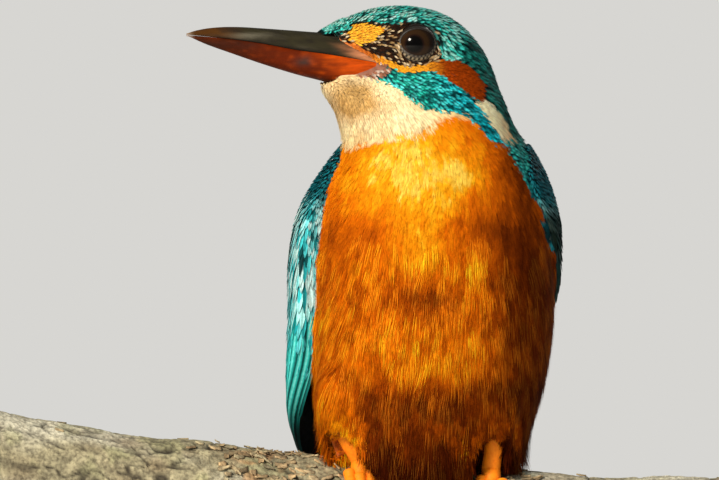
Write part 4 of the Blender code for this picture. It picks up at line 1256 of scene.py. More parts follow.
def lay_forehead(settings, shapes, adjust):
    """The point of short feathers that runs forward over the root of the bill."""
    rng = np.random.default_rng(37)
    count, front, widest_turn = 560, 19.4, 1.15
    f = rng.uniform(14.4, front, count)
    turn = rng.uniform(-widest_turn, widest_turn, count)
    top = np.interp(f, [14.0, 15.6, 16.7, front], [4.45, 3.95, 3.35, float(culmen(front)) + 0.05])
    low = np.minimum(culmen(f), top) - 1.0
    half = np.interp(f, [14.0, front], [4.7, 2.6])
    roots = from_head(f, half * np.sin(turn), low + (top - low) * np.cos(turn))
    sideways, upwards = np.sin(turn)[:, None] * HEAD_AXES[1], np.cos(turn)[:, None] * HEAD_AXES[2]
    out = unit(sideways + upwards + 0.45 * HEAD_AXES[0])
    back = flattened(unit(0.45 * sideways + 0.58 * upwards - HEAD_AXES[0]), out)
    across = np.cross(back, out)
    kind = np.full(count, KIND["crown"])
    covered, shown = adjust(roots, kind, *plumage_colours(roots, kind, settings))
    uv = nearest_uv(roots)
    length = rng.uniform(1.1, 1.8, count) * settings.length
    light = np.clip(rng.normal(0.95, 0.34, count), 0.3, 1.6)
    variant = rng.integers(0, len(shapes), count)
    pieces = []
    for v, (shape, faces) in enumerate(shapes):
        pick = np.nonzero(variant == v)[0]
        a, b, s, bare, edge = shape.T
        rise = 0.05 + 0.32 * np.clip(s, 0, 1) - 0.07 * edge**2
        place = roots[pick][:, None] + back[pick][:, None] * (s * length[pick][:, None])[..., None]
        place = place + across[pick][:, None] * (a * 0.24 * settings.width + b)[:, None]
        place = place + out[pick][:, None] * rise[:, None]
        soft = unit(out[pick][:, None] + across[pick][:, None] * (0.45 * edge)[:, None])
        colour = blend(covered[pick][:, None], shown[pick][:, None], tipped(s, edge, bare))
        colour = np.clip(colour * light[pick][:, None, None], 0, 1)
        pieces.append(shaped(shape, faces, place, colour, soft, uv[pick]))
    put_feathers("forehead_feathers", pieces, "plumage_teal")


def build_face(settings):
    """Throat, ear, loral spot, lores and neck patch: small soft feathers."""
    rng = np.random.default_rng(4)
    shapes = [lock_shape(rng, 8, 0.06) for _ in range(12)]

    def spacing(p):
        f, l, u = to_head(p)
        return 0.40 + 0.10 * ease(u, -10.0, -20.0) + 0.06 * ease(f, 2.0, -10.0)

    def length(p):
        f, l, u = to_head(p)
        return 1.3 + 1.9 * ease(u, -9.0, -19.0) + 0.7 * ease(f, 2.0, -12.0)

    def width(p):
        f, l, u = to_head(p)
        return length(p) * (0.20 - 0.06 * inside(LORES, f, u))

    def fleck(roots, kind, covered, shown):
        f, l, u = to_head(roots)
        rng = np.random.default_rng(41)
        chance = rng.random(len(roots)) + 0.30 * soft_noise(roots, 1.0, 43)
        rim = np.hypot(f - EYE_RIM[0], u - EYE_RIM[1])
        many = 0.30 + 0.26 * ease(rim, 7.4, 5.6) * ease(u, 1.0, -2.0)
        many = many * (1 - 0.75 * ease(u, 2.2, 3.6))
        straw = blend((0.36, 0.22, 0.09), (0.80, 0.66, 0.44), rng.random(len(roots)) ** 2)
        shown = np.where(((kind == KIND["lores"]) & (chance < many))[:, None], straw, shown)
        rusty = ((kind == KIND["spot"]) & (chance < 0.28))[:, None]
        shown = np.where(rusty, blend(shown, (0.72, 0.20, 0.012), rng.random(len(roots)) * 0.8), shown)
        white = (kind == KIND["gape"]) & (chance < 0.34)
        return covered, np.where(white[:, None], (0.62, 0.50, 0.42), shown)

    lay(
        settings, "face_feathers", 12, ("throat", "ear", "spot", "lores", "neck_patch", "gape"), spacing,
        shapes, length, width, "plumage_orange", plain, cup=0.03, adjust=fleck, rounding=0.05, vary=0.07,
    )


def build_breast(settings):
    """Breast, belly, flanks, thighs and vent: broad soft vanes below, and fine locks over them."""
    rng = np.random.default_rng(5)
    under = [tuft_shape(rng, 9, 0.22) for _ in range(8)]
    locks = [lock_shape(rng) for _ in range(14)]
    hairs = [hair_shape(rng) for _ in range(12)]

    def length(p):
        left, forward, h = to_body(p)
        return 3.6 + 1.4 * ease(h, 66.0, 34.0) + 2.2 * (ease(h, 13.0, 6.0) * ease(forward, -2.0, 4.0))

    def streaks(roots, kind, covered, shown):
        chance = np.random.default_rng(44).random(len(roots))[:, None]
        pale = np.clip(shown * (1.5, 2.0, 2.6) + (0.10, 0.04, 0.004), 0, 1)
        shown = np.where(chance < 0.6, pale, shown * (0.42, 0.30, 0.30))
        return shown * 0.8, shown

    def layer(name, seed, gap, shapes, long, wide, **values):
        lay(
            settings, name, seed, ("breast", "vent"), lambda p: np.full(len(p), gap), shapes,
            lambda p: length(p) * long, lambda p: length(p) * wide, "plumage_orange", plain,
            rounding=0.05, **values,
        )

    layer("breast_down", 13, 1.15, under, 0.95, 0.34, cup=0.03, depth=0.50, vary=0.05, root_lift=0.15)
    layer(
        "breast_feathers", 16, 0.56, locks, 1.0, 0.14, cup=0.02, vary=0.13, root_lift=0.35,
        contrast=lambda p: 0.16 + 0.26 * ease(to_body(p)[2], 52.0, 40.0),
    )
    layer(
        "breast_strands", 17, 1.35, hairs, 1.35, 0.20, cup=0.02, depth=1.2, vary=0.10, root_lift=0.7,
        adjust=streaks, test=lambda p: to_body(p)[2] < 50.0 + 6.0 * soft_noise(p, 3.0, 18),
    )


def build_back(settings):
    """The azure stripe down the back and rump, and the mantle beside it."""
    rng = np.random.default_rng(6)
    shapes = [scale_shape(rng, 5, (0.0, 0.35, 0.68, 0.9), 9) for _ in range(8)]

    def spacing(p):
        return 1.05 - 0.30 * ease(to_body(p)[2], 52.0, 60.0)

    def length(p):
        h = to_body(p)[2]
        return 3.6 + 2.2 * ease(h, 60.0, 10.0) - 1.2 * ease(h, 52.0, 60.0)

    def silky(roots, kind, covered, shown):
        drawn = soft_noise(stack(roots[:, 0] / 0.8, roots[:, 1] / 0.8, roots[:, 2] / 7.0), 1.0, 35)
        drawn = drawn + 0.35 * soft_noise(roots, 1.2, 36)
        glint = np.clip(drawn * 1.1 - 0.1, 0, 0.6) * np.where(kind == KIND["back"], 1.0, 0.35)
        shown = blend(shown, (0.060, 0.720, 0.950), glint)
        return covered, blend(shown, covered, np.clip(-drawn * 1.2 - 0.15, 0, 0.8))

    lay(
        settings, "back_feathers", 14, ("back", "mantle"), spacing, shapes, length,
        lambda p: length(p) * 0.28, "plumage_azure", barred, cup=0.2, adjust=silky, vary=0.16,
    )


WINGS = {}
WING_ROWS = np.arange(73.0, -14.01, -0.5)
WING_COLUMNS = 90


def wing_table(side):
    """The folded wing's outside: rows by height, columns from its front corner round to its back edge."""
    if side in WINGS:
        return WINGS[side]
    held = np.clip(WING_ROWS, WING_TIP_H, WING_TOP)
    front, back = wing_edges(side, held)
    deep = wing_proud(side, WING_ROWS) * ease(WING_ROWS, 0.0, 26.0)
    thick = 1.05 + 0.9 * deep
    place = np.zeros((len(WING_ROWS), WING_COLUMNS, 3))
    girth = np.zeros(len(WING_ROWS))
    for i, h in enumerate(held):
        degree = np.linalg.norm(wing_point(side, front[i] + 1, h, 0) - wing_point(side, front[i], h, 0))
        turn = min(1.3, 0.6 * thick[i])
        arc = min(turn / degree, 0.4 * (back[i] - front[i]))
        face = wing_point(side, front[i], h, np.linspace(-thick[i], -0.35 - turn, 8))
        corner = wing_point(side, front[i], h, -0.35)
        angles = np.linspace(front[i] + arc, back[i], 60)
        share = (angles - front[i]) / (back[i] - front[i])
        swell = np.sin(math.pi * np.clip(share, 0.02, 0.98)) ** 0.5
        outside = wing_point(side, angles, h, -0.40 + 0.45 * swell)
        t = np.linspace(0, 1, 9)[1:-1, None]
        bend = (1 - t) ** 2 * face[-1] + 2 * t * (1 - t) * corner + t**2 * outside[0]
        line = np.concatenate([face, bend, outside])
        run = np.concatenate([[0.0], np.cumsum(np.linalg.norm(np.diff(line, axis=0), axis=1))])
        girth[i] = run[-1]
        even = np.linspace(0, run[-1], WING_COLUMNS)
        place[i] = np.stack([np.interp(even, run, line[:, k]) for k in range(3)], axis=1)
    for _ in range(3):
        place[1:-1] = (place[:-2] + 2 * place[1:-1] + place[2:]) / 4
    across = np.gradient(place, axis=1)
    downward = np.gradient(place, axis=0)
    normal = unit(np.cross(across, downward))
    outwards = place - from_body(0.0, 0.0, WING_ROWS)[:, None, :]
    middle = slice(WING_COLUMNS // 2, None)
    if np.sum(normal[:, middle] * outwards[:, middle]) < 0:
        normal = -normal
    WINGS[side] = (place, normal, girth)
    return WINGS[side]


def on_wing(side, share, h):
    """Place, normal and girth on the folded wing for arrays of shares and heights."""
    place, normal, girth = wing_table(side)
    row = np.clip((WING_ROWS[0] - h) / 0.5, 0, len(WING_ROWS) - 1.001)
    column = np.clip(share, 0, 0.9999) * (WING_COLUMNS - 1)
    i, j = row.astype(int), column.astype(int)
    y, x = (row - i)[..., None], (column - j)[..., None]
    found = []
    for table in (place, normal):
        top = table[i, j] * (1 - x) + table[i, j + 1] * x
        low = table[i + 1, j] * (1 - x) + table[i + 1, j + 1] * x
        found.append(top * (1 - y) + low * y)
    around = girth[i] * (1 - y[..., 0]) + girth[i + 1] * y[..., 0]
    return found[0], unit(found[1]), around


def covert_places(side, rng):
    """Shares, heights, lengths and half widths of the coverts, in rows like tiles."""
    rows, h, shift = [], 72.5, 0.0
    while h > 24.0:
        step = 0.85 + 1.55 * float(ease(h, 62.0, 44.0))
        girth = float(np.interp(-h, -WING_ROWS, wing_table(side)[2]))
        wide = 0.62 + 0.55 * float(ease(h, 62.0, 40.0))
        count = max(3, int(girth / wide))
        share = (np.arange(count) + 0.5 * (shift % 2)) / count + rng.normal(0, 0.16 / count, count)
        high = h + rng.normal(0, 0.22 * step, count) + 1.6 * share
        rows.append(np.stack([share, high, np.full(count, step), np.full(count, wide)], axis=1))
        h -= step
        shift += 1
    return np.concatenate(rows)


def wrapped(side, where, high, around):
    """Place, normal and way across on the folded wing, straight on past its edges."""
    over = np.minimum(where, 0.0) + np.maximum(where - 1.0, 0.0)
    place, normal, _ = on_wing(side, where, high)
    here, there = (on_wing(side, np.clip(where + step, 0, 1), high)[0] for step in (-0.02, 0.02))
    along = unit(there - here)
    return place + along * (over * around)[..., None], normal, along


def drape(side, share, h, shape, length, half, lift, base_lift, tilt, drift=0.0):
    """Feathers over the wing: places and soft normals for each feather's shape."""
    a, b, s, _, edge = shape.T
    here, _, _ = on_wing(side, share, h)
    below, _, _ = on_wing(side, share, h - 1.0)
    speed = np.maximum(np.linalg.norm(here - below, axis=-1), 0.9)
    high = h[:, None] - (length / speed)[:, None] * s
    _, _, around = on_wing(side, np.broadcast_to(share[:, None], high.shape), high)
    offset = a * half[:, None] + b
    place, normal, along = wrapped(side, share[:, None] + offset / around + drift * s, high, around)
    rise = base_lift + (lift[:, None] - base_lift) * s**0.8 - tilt * edge
    rise = rise - 0.10 * edge**2
    soft = unit(normal - along * (0.30 * edge)[:, None])
    return place + normal * rise[..., None], soft, offset


def rim_share(side, h):
    """The share of the wing's girth at which it turns out of sight from in front."""
    place = wing_table(side)[0]
    column = np.argmax(place[:, :, 0] * SIDES[side], axis=1) / (WING_COLUMNS - 1)
    return np.interp(-h, -WING_ROWS, column)


def wing_fringe(side, rng):
    """Long narrow feathers along the wing's rim, and loose pale barbs where it meets the breast."""
    lines, full = 9, side == "right"
    k = np.arange(lines)
    h = 61.0 - 1.1 * k + rng.normal(0, 0.4, lines)
    around = on_wing(side, np.full(lines, 0.3), h)[2]
    narrow = vane_shape(rng, 5, 12, 2)
    long_share = rim_share(side, h) + (-3.6 + 0.62 * k) / around
    colour = np.where((k % 2 == 0)[:, None], (0.50, 0.76, 0.74), (0.004, 0.016, 0.018))
    even = np.full(lines, 0.42)
    batches = [(narrow, long_share, h, 9.0 + 0.8 * k, even, even, -0.1, 0.0, colour)]
    for _ in range(4):
        count = 95 if full else 40
        high = rng.uniform(33.0, 66.0 if full else 54.0, count)
        share = rng.uniform(-0.012, 0.028, count)
        chance = rng.random((count, 1))
        colour = np.where(chance < 0.50, (0.66, 0.74, 0.66), (0.04, 0.38, 0.40))
        colour = np.where(chance > 0.78, (0.03, 0.02, 0.015), colour)
        batches.append((tuft_shape(rng, 6, 0.03), share, high, rng.uniform(1.1, 2.2, count),
                        np.full(count, 0.26), rng.uniform(0.25, 0.55, count), 0.1, -0.03, colour))
    # Painted shade: the left wing's fringe, on the side turned from the key light, is dimmed to a quarter.
    dim = 1.0 if full else 0.25
    pieces = []
    for (shape, faces), share, high, length, half, lift, base_lift, drift, colour in batches:
        place, soft, _ = drape(side, share, high, shape, length, half, lift, base_lift, 0.0, drift)
        uv = nearest_uv(on_wing(side, share, high)[0])
        tint = dim * colour[:, None] * (0.6 + 0.4 * ease(shape[:, 2], 0.1, 0.5))[:, None]
        pieces.append(shaped(shape, faces, place, tint, soft, uv))
    return pieces


def covert_colours(side, roots, share, h, rim, fore, rng):
    """Covered and showing colour of each covert: speckled pale and black along the wing's front."""
    speck = soft_noise(roots, 2.0, 33) + rng.normal(0, 0.34, len(h))
    shown = blend((0.008, 0.170, 0.210), (0.020, 0.520, 0.580), fore)
    for colour, much in (
        ((0.060, 0.480, 0.560), np.exp(-((rim / 1.3) ** 2)) * ease(h, 54.0, 60.0) * 0.8),
        ((0.15, 0.92, 1.00), fore * np.clip(0.60 + speck, 0, 1) * 0.9),
        ((0.70, 1.00, 1.00), fore * ease(h, 30.0, 42.0) * np.clip(0.40 + speck * 1.5, 0, 1) * 0.85),
        ((0.004, 0.020, 0.022), fore * ease(h, 34.0, 42.0) * np.clip(-speck * 2.0 - 0.75, 0, 1)),
        ((0.008, 0.300, 0.560), ease(share, 0.80, 0.97) * 0.8),
    ):
        shown = blend(shown, colour, much)
    covered = blend((0.002, 0.010, 0.014), (0.006, 0.070, 0.080), fore)
    if side == "right":
        return covered, shown
    # Folded behind the flank and turned from the key light, the left wing's edge is darkened with painted
    # shade; the mask named worn is this painted shade.
    worn = 0.96 * ease(rim, 6.0, 1.5) * ease(h, 62.0, 56.0)
    return blend(covered, (0.003, 0.004, 0.003), worn), blend(shown, (0.012, 0.022, 0.014), worn)


def build_coverts(settings):
    """The wing's coverts: rows of tiles, small on the shoulder and longer down to the quills."""
    shapes = [vane_shape(np.random.default_rng(70 + k)) for k in range(8)]
    for side in SIDES:
        rng = np.random.default_rng(7 + SIDES[side])
        places = covert_places(side, rng)
        share, h, step, wide = places[places[:, 1] > 25.6].T
        length = step * 2.3 * rng.uniform(0.85, 1.2, len(h)) + 1.6 * ease(h, 60.0, 50.0)
        half = wide * 0.58 * rng.uniform(0.85, 1.15, len(h))
        lift = 0.20 + rng.uniform(-0.08, 0.14, len(h)) * (1 + ease(h, 60.0, 50.0))
        roots, _, around = on_wing(side, share, h)
        rim = (share - rim_share(side, h)) * around
        fore = ease(rim, 3.0, 0.0) * ease(h, 62.0, 55.0)
        uv = nearest_uv(roots)
        covered, shown = covert_colours(side, roots, share, h, rim, fore, rng)
        variant = rng.integers(0, len(shapes), len(h))
        begin = rng.uniform(0.30, 0.54, len(h)) - 0.20 * fore
        light = 1 + rng.normal(0, 0.12, len(h))
        pieces = []
        for v, (shape, faces) in enumerate(shapes):
            pick = np.nonzero(variant == v)[0]
            place, soft, offset = drape(
                side, share[pick], h[pick], shape, length[pick], half[pick], lift[pick], -0.55, 0.05
            )
            s, edge = shape[:, 2], shape[:, 4]
            dot = ease(s - begin[pick][:, None], 0.0, 0.12) * (1 - 0.35 * ease(s, 0.92, 1.0))
            dot = dot * (1 - 0.85 * ease(edge, 0.50, 0.95)) * (1 - 0.55 * np.exp(-((offset / 0.09) ** 2)))
            colour = blend(covered[pick][:, None], shown[pick][:, None], dot) * light[pick][:, None, None]
            pieces.append(shaped(shape, faces, place, colour, soft, uv[pick]))
        put_feathers(f"coverts_{side}", pieces + wing_fringe(side, rng), "plumage_teal")


# Quills of wing and tail.


def rounded_end(t):
    """How wide a long feather is along it, against its widest."""
    return np.clip(1 - np.clip((t - 0.84) / 0.16, 0, 1) ** 2.2, 0, 1) ** 0.5


def long_feather(k, count, points, colour, soft, edge, t, ribs):
    """One of so many long feathers, with a strip of the bake's map to itself."""
    across, along = np.meshgrid(edge, t)
    strip = np.stack([(k + 0.5 + 0.42 * across) / count, along], axis=-1)
    vane = np.stack([across, along * ribs], axis=-1)
    return flat_arrays(points, halved(grid_faces(len(t), len(edge))), colour, soft, strip, vane)


def nearest_uv(points):
    """Where the unwrap of the skin has each point."""
    faces = [SKIN["tree"].find_nearest(point)[2] for point in points.tolist()]
    return np.array([SKIN["uv"][face].mean(axis=0) for face in faces], float)


QUILLS = 28
PRIMARY_TIPS = [-9.0, -12.0, -13.2, -13.2, -12.8, -12.0, -10.8, -9.2, -7.4, -5.4]


def quill_plan(k):
    """Tip height and the shares of the wing's girth at the root and the tip of one quill."""
    share = (k + 0.35) / QUILLS
    if k < 10:
        return PRIMARY_TIPS[k], share, 0.010 + 0.030 * k + 0.0035 * k * k
    if k < 24:
        return -2.0 + 0.85 * (k - 10), share, 0.60 + 0.021 * (k - 10)
    return 11.5 + 2.2 * (k - 24), share, share - 0.01


def build_quills(settings):
    """The quills of both folded wings, and the dark lining inside them."""
    for side in SIDES:
        lay_quills(side)
        line_wing(side)


def lay_quills(side):
    rng = np.random.default_rng(30 + SIDES[side])
    t, edge = np.linspace(0, 1, 56), np.linspace(-1, 1, 11)
    pieces = []
    for k in range(QUILLS):
        tip, root_share, tip_share = quill_plan(k)
        h = 36.0 + (tip - 36.0) * t
        centre = root_share + (tip_share - root_share) * ease(t, 0.2, 1.0)
        before = quill_plan(k - 1) if k else (tip, root_share - 0.040, tip_share - 0.045)
        gap = centre - before[1] - (before[2] - before[1]) * ease(t, 0.2, 1.0)
        end = rounded_end(t)
        front_web = np.clip(gap * on_wing(side, centre, h)[2] * 0.92, 0.50, 1.5) * end + 0.02
        back_web = 3.0 * end * (1 - 0.35 * t) + 0.02
        offset = np.where(edge < 0, edge * front_web[:, None], edge * back_web[:, None])
        high, middle = (np.broadcast_to(row[:, None], offset.shape) for row in (h, centre))
        around = on_wing(side, middle, high)[2]
        place, normal, along = wrapped(side, middle + offset / around, high, around)
        shaft = 0.14 * np.exp(-((offset / 0.16) ** 2))
        rise = -0.30 * ease(high, 24.0, 34.0) + 0.10 - 0.26 * (offset / 3.0) - 0.02 * offset**2 + shaft
        rise = rise + 0.05 * np.sin(k * 2.1 + t * 3.0)[:, None]
        points = place + normal * rise[..., None]
        points = points + rng.normal(0, 0.012, points.shape)
        soft = unit(normal - along * (0.30 * edge)[:, None])
        outer = np.array([0.022, 0.680, 0.640]) * rng.uniform(0.65, 1.30)
        outer = blend(outer, (0.006, 0.17, 0.36), ease(k, 15, 24))
        web = ease(-offset, -0.22, -0.02) * (1 - 0.92 * ease(-edge, 0.60, 0.95))
        colour = blend((0.008, 0.013, 0.018), outer, web)
        gleam = 0.6 * np.exp(-(((edge + 0.38) / 0.14) ** 2)) * ease(0.75 - t, 0.0, 0.3)[:, None] * (k < 14)
        colour = blend(colour, (0.30, 0.95, 0.92), gleam * ease(front_web, 0.5, 0.9)[:, None])
        colour = colour * (1 - 0.8 * np.exp(-((offset / 0.13) ** 2)))[..., None]
        dim = 0.95 * ease(t, 0.38, 0.66) if k < 3 else 0.92 * ease(t, 0.54, 0.78)
        pieces.append(long_feather(k, QUILLS, points, colour * (1 - dim)[:, None, None], soft, edge, t, 8))
    put_feathers(f"quills_{side}", pieces, "plumage_azure")


def line_wing(side):
    """The under side of the folded wing, from the solid's own form, a little inside it."""
    name, solid = f"wing_lining_{side}", f"flight_feathers_{side}"
    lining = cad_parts[solid].data.copy()
    with edited(lining) as bm:
        bmesh.ops.remove_doubles(bm, verts=bm.verts, dist=0.01 * MM)
        bm.normal_update()
        pushed(bm, -0.50)
    lining.name = name
    put_colours(lining, (0.008, 0.009, 0.011))
    black = (0.003, 0.003, 0.004)
    finish = tinted_finish(f"lining_{side}", (0.7, 0.9), black, 900.0, 0.5, 0.0001, specular=0.1)
    lining.shade_smooth()
    new_piece(name, lining, finish, "plumage_azure", solid)


def build_tail(settings):
    """The tail feathers, stacked towards the middle pair."""
    rng = np.random.default_rng(50)
    count = 12
    t, edge = np.linspace(0.0, 1.0, 26), np.linspace(-1, 1, 9)
    down, away = math.sin(TAIL_DROP), -math.cos(TAIL_DROP)
    pieces = []
    for k in range(count):
        place = (k - 5.5) / 5.5
        run = -6.0 + (TAIL_LENGTH + 6.0 - 1.6 * abs(place) ** 2) * t
        side = place * (2.6 + 3.1 * t)
        deep = -0.75 * (1.2 - 0.5 * t) + 1.45 * (1 - abs(place)) * (1.1 - 0.4 * t) + 1.0 * (place * t) ** 2
        behind, high = TAIL_ROOT_Y + away * run, TAIL_ROOT_H - down * run
        centre = from_body(side, behind - deep * down, high - deep * away)
        middle = from_body(side * 0, behind, high)
        up = unit(np.cross(np.broadcast_to(BODY_AXES[0], middle.shape), np.gradient(middle, axis=0)))
        up = np.where((up @ BODY_AXES[1])[:, None] > 0, -up, up)
        way = unit(np.gradient(centre, axis=0))
        sideways = unit(np.cross(way, up))
        up = np.cross(sideways, way)
        across = edge * ((2.2 + 0.7 * t) * rounded_end(t) + 0.03)[:, None]
        rise = -0.02 * across**2 + np.exp(-((across / 0.22) ** 2)) * 0.16
        points = centre[:, None] + sideways[:, None] * across[..., None] + up[:, None] * rise[..., None]
        soft = unit(up[:, None] + sideways[:, None] * (0.35 * edge)[:, None])
        colour = np.array([0.006, 0.075, 0.230]) * rng.uniform(0.85, 1.15)
        colour = colour * (1 - 0.8 * np.exp(-((across / 0.16) ** 2)))[..., None]
        pieces.append(long_feather(k, count, points, colour, soft, edge, t, 5))
    put_feathers("tail_feathers", pieces, "plumage_azure", ("tail",))


# Bill, eyes, feet.


def bill_half(upper):
    """One half of the bill: ridge, flattened sides, a fine cutting edge and, above, the nostril."""
    rows, around = 110, 40
    t = np.linspace(0.0, 1.0, rows)
    f = BILL_ROOT + (BILL_TIP - BILL_ROOT) * t**0.92
    sign = 1 if upper else -1
    line = bill_axis(f) + sign * 0.05
    half = bill_half_width(f)
    rise = np.maximum(0.26, culmen(f) - line if upper else line - gonys(f))
    a = np.linspace(0.0, 2 * math.pi, around, endpoint=False)
    c, s = np.cos(a), np.sin(a)
    outer = s >= -1e-9
    side = np.where(outer, np.sign(c) * np.abs(c) ** 1.10, np.sign(c) * np.abs(c))
    out = np.where(outer, np.abs(s) ** 0.92, 0.0)
    ff = np.repeat(f[:, None], around, axis=1)
    ll = half[:, None] * side[None, :]
    uu = line[:, None] + sign * rise[:, None] * out[None, :]
    if upper:
        slot = np.exp(-(((ff - 15.7) / 2.0) ** 2 + ((uu - 0.25) / 0.32) ** 2))
        ll = ll * (1 - 0.16 * slot)
    ll = ll * (1 + 0.006 * np.sin(uu * 9.0 + np.sin(ff * 0.35)))
    points = from_head(ff.ravel(), ll.ravel(), uu.ravel())
    faces = [tuple(face) for face in grid_faces(rows, around, True)]
    mesh = bpy.data.meshes.new("bill_upper_horn" if upper else "bill_lower_horn")
    count = len(points)
    ends = [tuple(range(around)), tuple(range(count - around, count))[::-1]]
    mesh.from_pydata((points * MM).tolist(), [], faces + ends)
    faced_out(mesh)
    mesh.shade_smooth()
    return mesh, ff.ravel(), ll.ravel(), uu.ravel()


def bill_tints(upper, f, l, u):
    """Slate above with a worn brown root and tip; below orange red, darker forward, with a worn spot."""
    streak = soft_noise(stack(f / 9.0, l * 1.2, u * 1.6), 0.5, 61)
    over = u - bill_axis(f)
    if upper:
        sheen = np.exp(-(((f - 37.5) / 6.0) ** 2)) * np.exp(-(((u - 0.9) / 0.6) ** 2))
        tip = ease(f, 48.0, 50.3)
        low = ease(over, 3.4, 1.2) * ease(f - 1.6 * over, 15.5, 8.0)
        edge = ease(over, 0.45, 0.05) * ease(f, 44.0, 38.0)
        colour = (0.030, 0.026, 0.014)
        layers = (
            ((0.15, 0.135, 0.10), np.clip(sheen * 0.8 + 0.12 * streak, 0, 1)),
            ((0.30, 0.20, 0.13), tip * 0.85),
            ((0.66, 0.26, 0.12), low * 0.9),
            ((0.075, 0.026, 0.004), 0.85 * ease(f, 36.0, 44.0) * (1 - tip)),
            ((0.012, 0.009, 0.008), edge * 0.7 * ease(f, 12.0, 20.0)),
        )
    else:
        blotch = soft_noise(stack(f, l, u), 1.8, 62)
        slate = np.clip(ease(f, 31.0, 37.0) * (0.5 + 0.4 * streak), 0, 1) * np.exp(-(((u + 1.1) / 0.9) ** 2))
        worn = np.exp(-(((f - 24.0) / 2.0) ** 2 + ((u + 4.7) / 1.1) ** 2)) * (0.7 + 0.6 * blotch)
        # Painted shade darkens the underside along the gonys, most towards the root.
        under = ease(u - gonys(f), 0.9, 0.2)
        colour = (0.035, 0.007, 0.001)
        layers = (
            ((0.120, 0.013, 0.001), ease(f, 44.0, 27.0)),
            ((0.700, 0.085, 0.003), ease(f - 1.2 * over, 26.0, 11.0)),
            ((0.72, 0.100, 0.003), np.clip(0.45 * streak, 0, 1) * (0.3 + 0.7 * ease(f, 32.0, 18.0))),
            ((0.020, 0.012, 0.010), slate),
            ((0.035, 0.030, 0.028), np.clip(worn, 0, 0.95)),
            ((0.05, 0.015, 0.008), under * (0.35 + 0.4 * ease(f, 26.0, 20.0))),
            ((0.50, 0.40, 0.34), ease(f, 48.3, 50.2) * 0.7),
        )
    for layer, share in layers:
        colour = blend(colour, layer, share)
    return colour


def build_bill(settings):
    """Both halves of the bill, with their grain drawn out along it."""
    stretch = ((0.0, 0.0, -HEAD_TURN), (0.12, 1.0, 1.0))
    for cad, slot, dark in (
        ("bill_upper", "bill_black", (0.012, 0.010, 0.009)),
        ("bill_lower", "bill_red", (0.07, 0.010, 0.002)),
    ):
        upper, name = cad == "bill_upper", f"{cad}_horn"
        mesh, f, l, u = bill_half(upper)
        put_colours(mesh, bill_tints(upper, f, l, u))
        finish = tinted_finish(name, (0.36, 0.55), dark, 900.0, 0.55, 0.00006, 0.0, stretch, specular=0.08)
        new_piece(name, mesh, finish, slot, cad)


def banded(tree, factor, bands):
    """A colour ramp through (position, colour) bands."""
    ramp = node(tree, "ValToRGB", in0=factor)
    elements = ramp.color_ramp.elements
    for k, (position, colour) in enumerate(bands):
        band = elements.new(position) if 0 < k < len(bands) - 1 else elements[0 if k == 0 else -1]
        band.position, band.color = position, (*colour, 1.0)
    return ramp.outputs["Color"]


def eye_finish(side, centre, axis, iris):
    """Brown iris round a black pupil, under a clear wet layer."""
    material, tree, shader = shader_tree(f"eye_{side}")
    place = node(tree, "TexCoord").outputs["Object"]
    away = node(tree, "VectorMath", operation="SUBTRACT", in0=place, in1=tuple(centre)).outputs[0]
    outwards = node(tree, "VectorMath", operation="NORMALIZE", in0=away).outputs[0]
    product = node(tree, "VectorMath", operation="DOT_PRODUCT", in0=outwards, in1=tuple(axis))
    facing = product.outputs["Value"]
    threads = node(tree, "TexNoise", Vector=outwards, Scale=9.0, Detail=4.0).outputs["Fac"]
    shifted = node(tree, "Math", operation="MULTIPLY_ADD", in0=threads, in1=0.012, in2=facing).outputs[0]
    colour = banded(tree, shifted, (
        (0.0, (0.008, 0.004, 0.003)),
        (0.70, (0.012, 0.006, 0.003)),
        (0.78, tuple(iris)),
        (0.885, (0.024, 0.011, 0.004)),
        (0.915, (0.012, 0.005, 0.003)),
        (0.95, (0.002, 0.0015, 0.001)),
        (1.0, (0.0015, 0.0012, 0.001)),
    ))
    plug(
        tree, shader, Base_Color=colour, Roughness=0.12, Coat_Weight=0.20, Coat_Roughness=0.10,
        Specular_IOR_Level=0.06,
    )
    return material


def build_eyes(settings):
    for side, sign in SIDES.items():
        low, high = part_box(f"eye_{side}")
        centre, radius = (low + high) / 2, (high.z - low.z) / 2
        axis = Vector((HEAD_AXES[1] * sign + HEAD_AXES[0] * 0.40).tolist()).normalized()
        clear_selection()
        bpy.ops.mesh.primitive_uv_sphere_add(segments=48, ring_count=32, radius=radius, location=(0, 0, 0))
        ball = bpy.context.object
        with edited(ball.data) as bm:
            for v in bm.verts:
                v.co *= 1.0 + 0.012 * (max(0.0, v.co.normalized().z - 0.80) / 0.20)
            bm.transform(Matrix.Translation(centre) @ axis.to_track_quat("Z", "Y").to_matrix().to_4x4())
        ball.name = f"eyeball_{side}"
        ball.data.shade_smooth()
        ball.data.materials.append(eye_finish(side, centre, axis, settings.iris))
        put_on_body(ball, "eye", f"eye_{side}")
        build_lids(side, sign, np.array(centre) / MM, radius / MM)


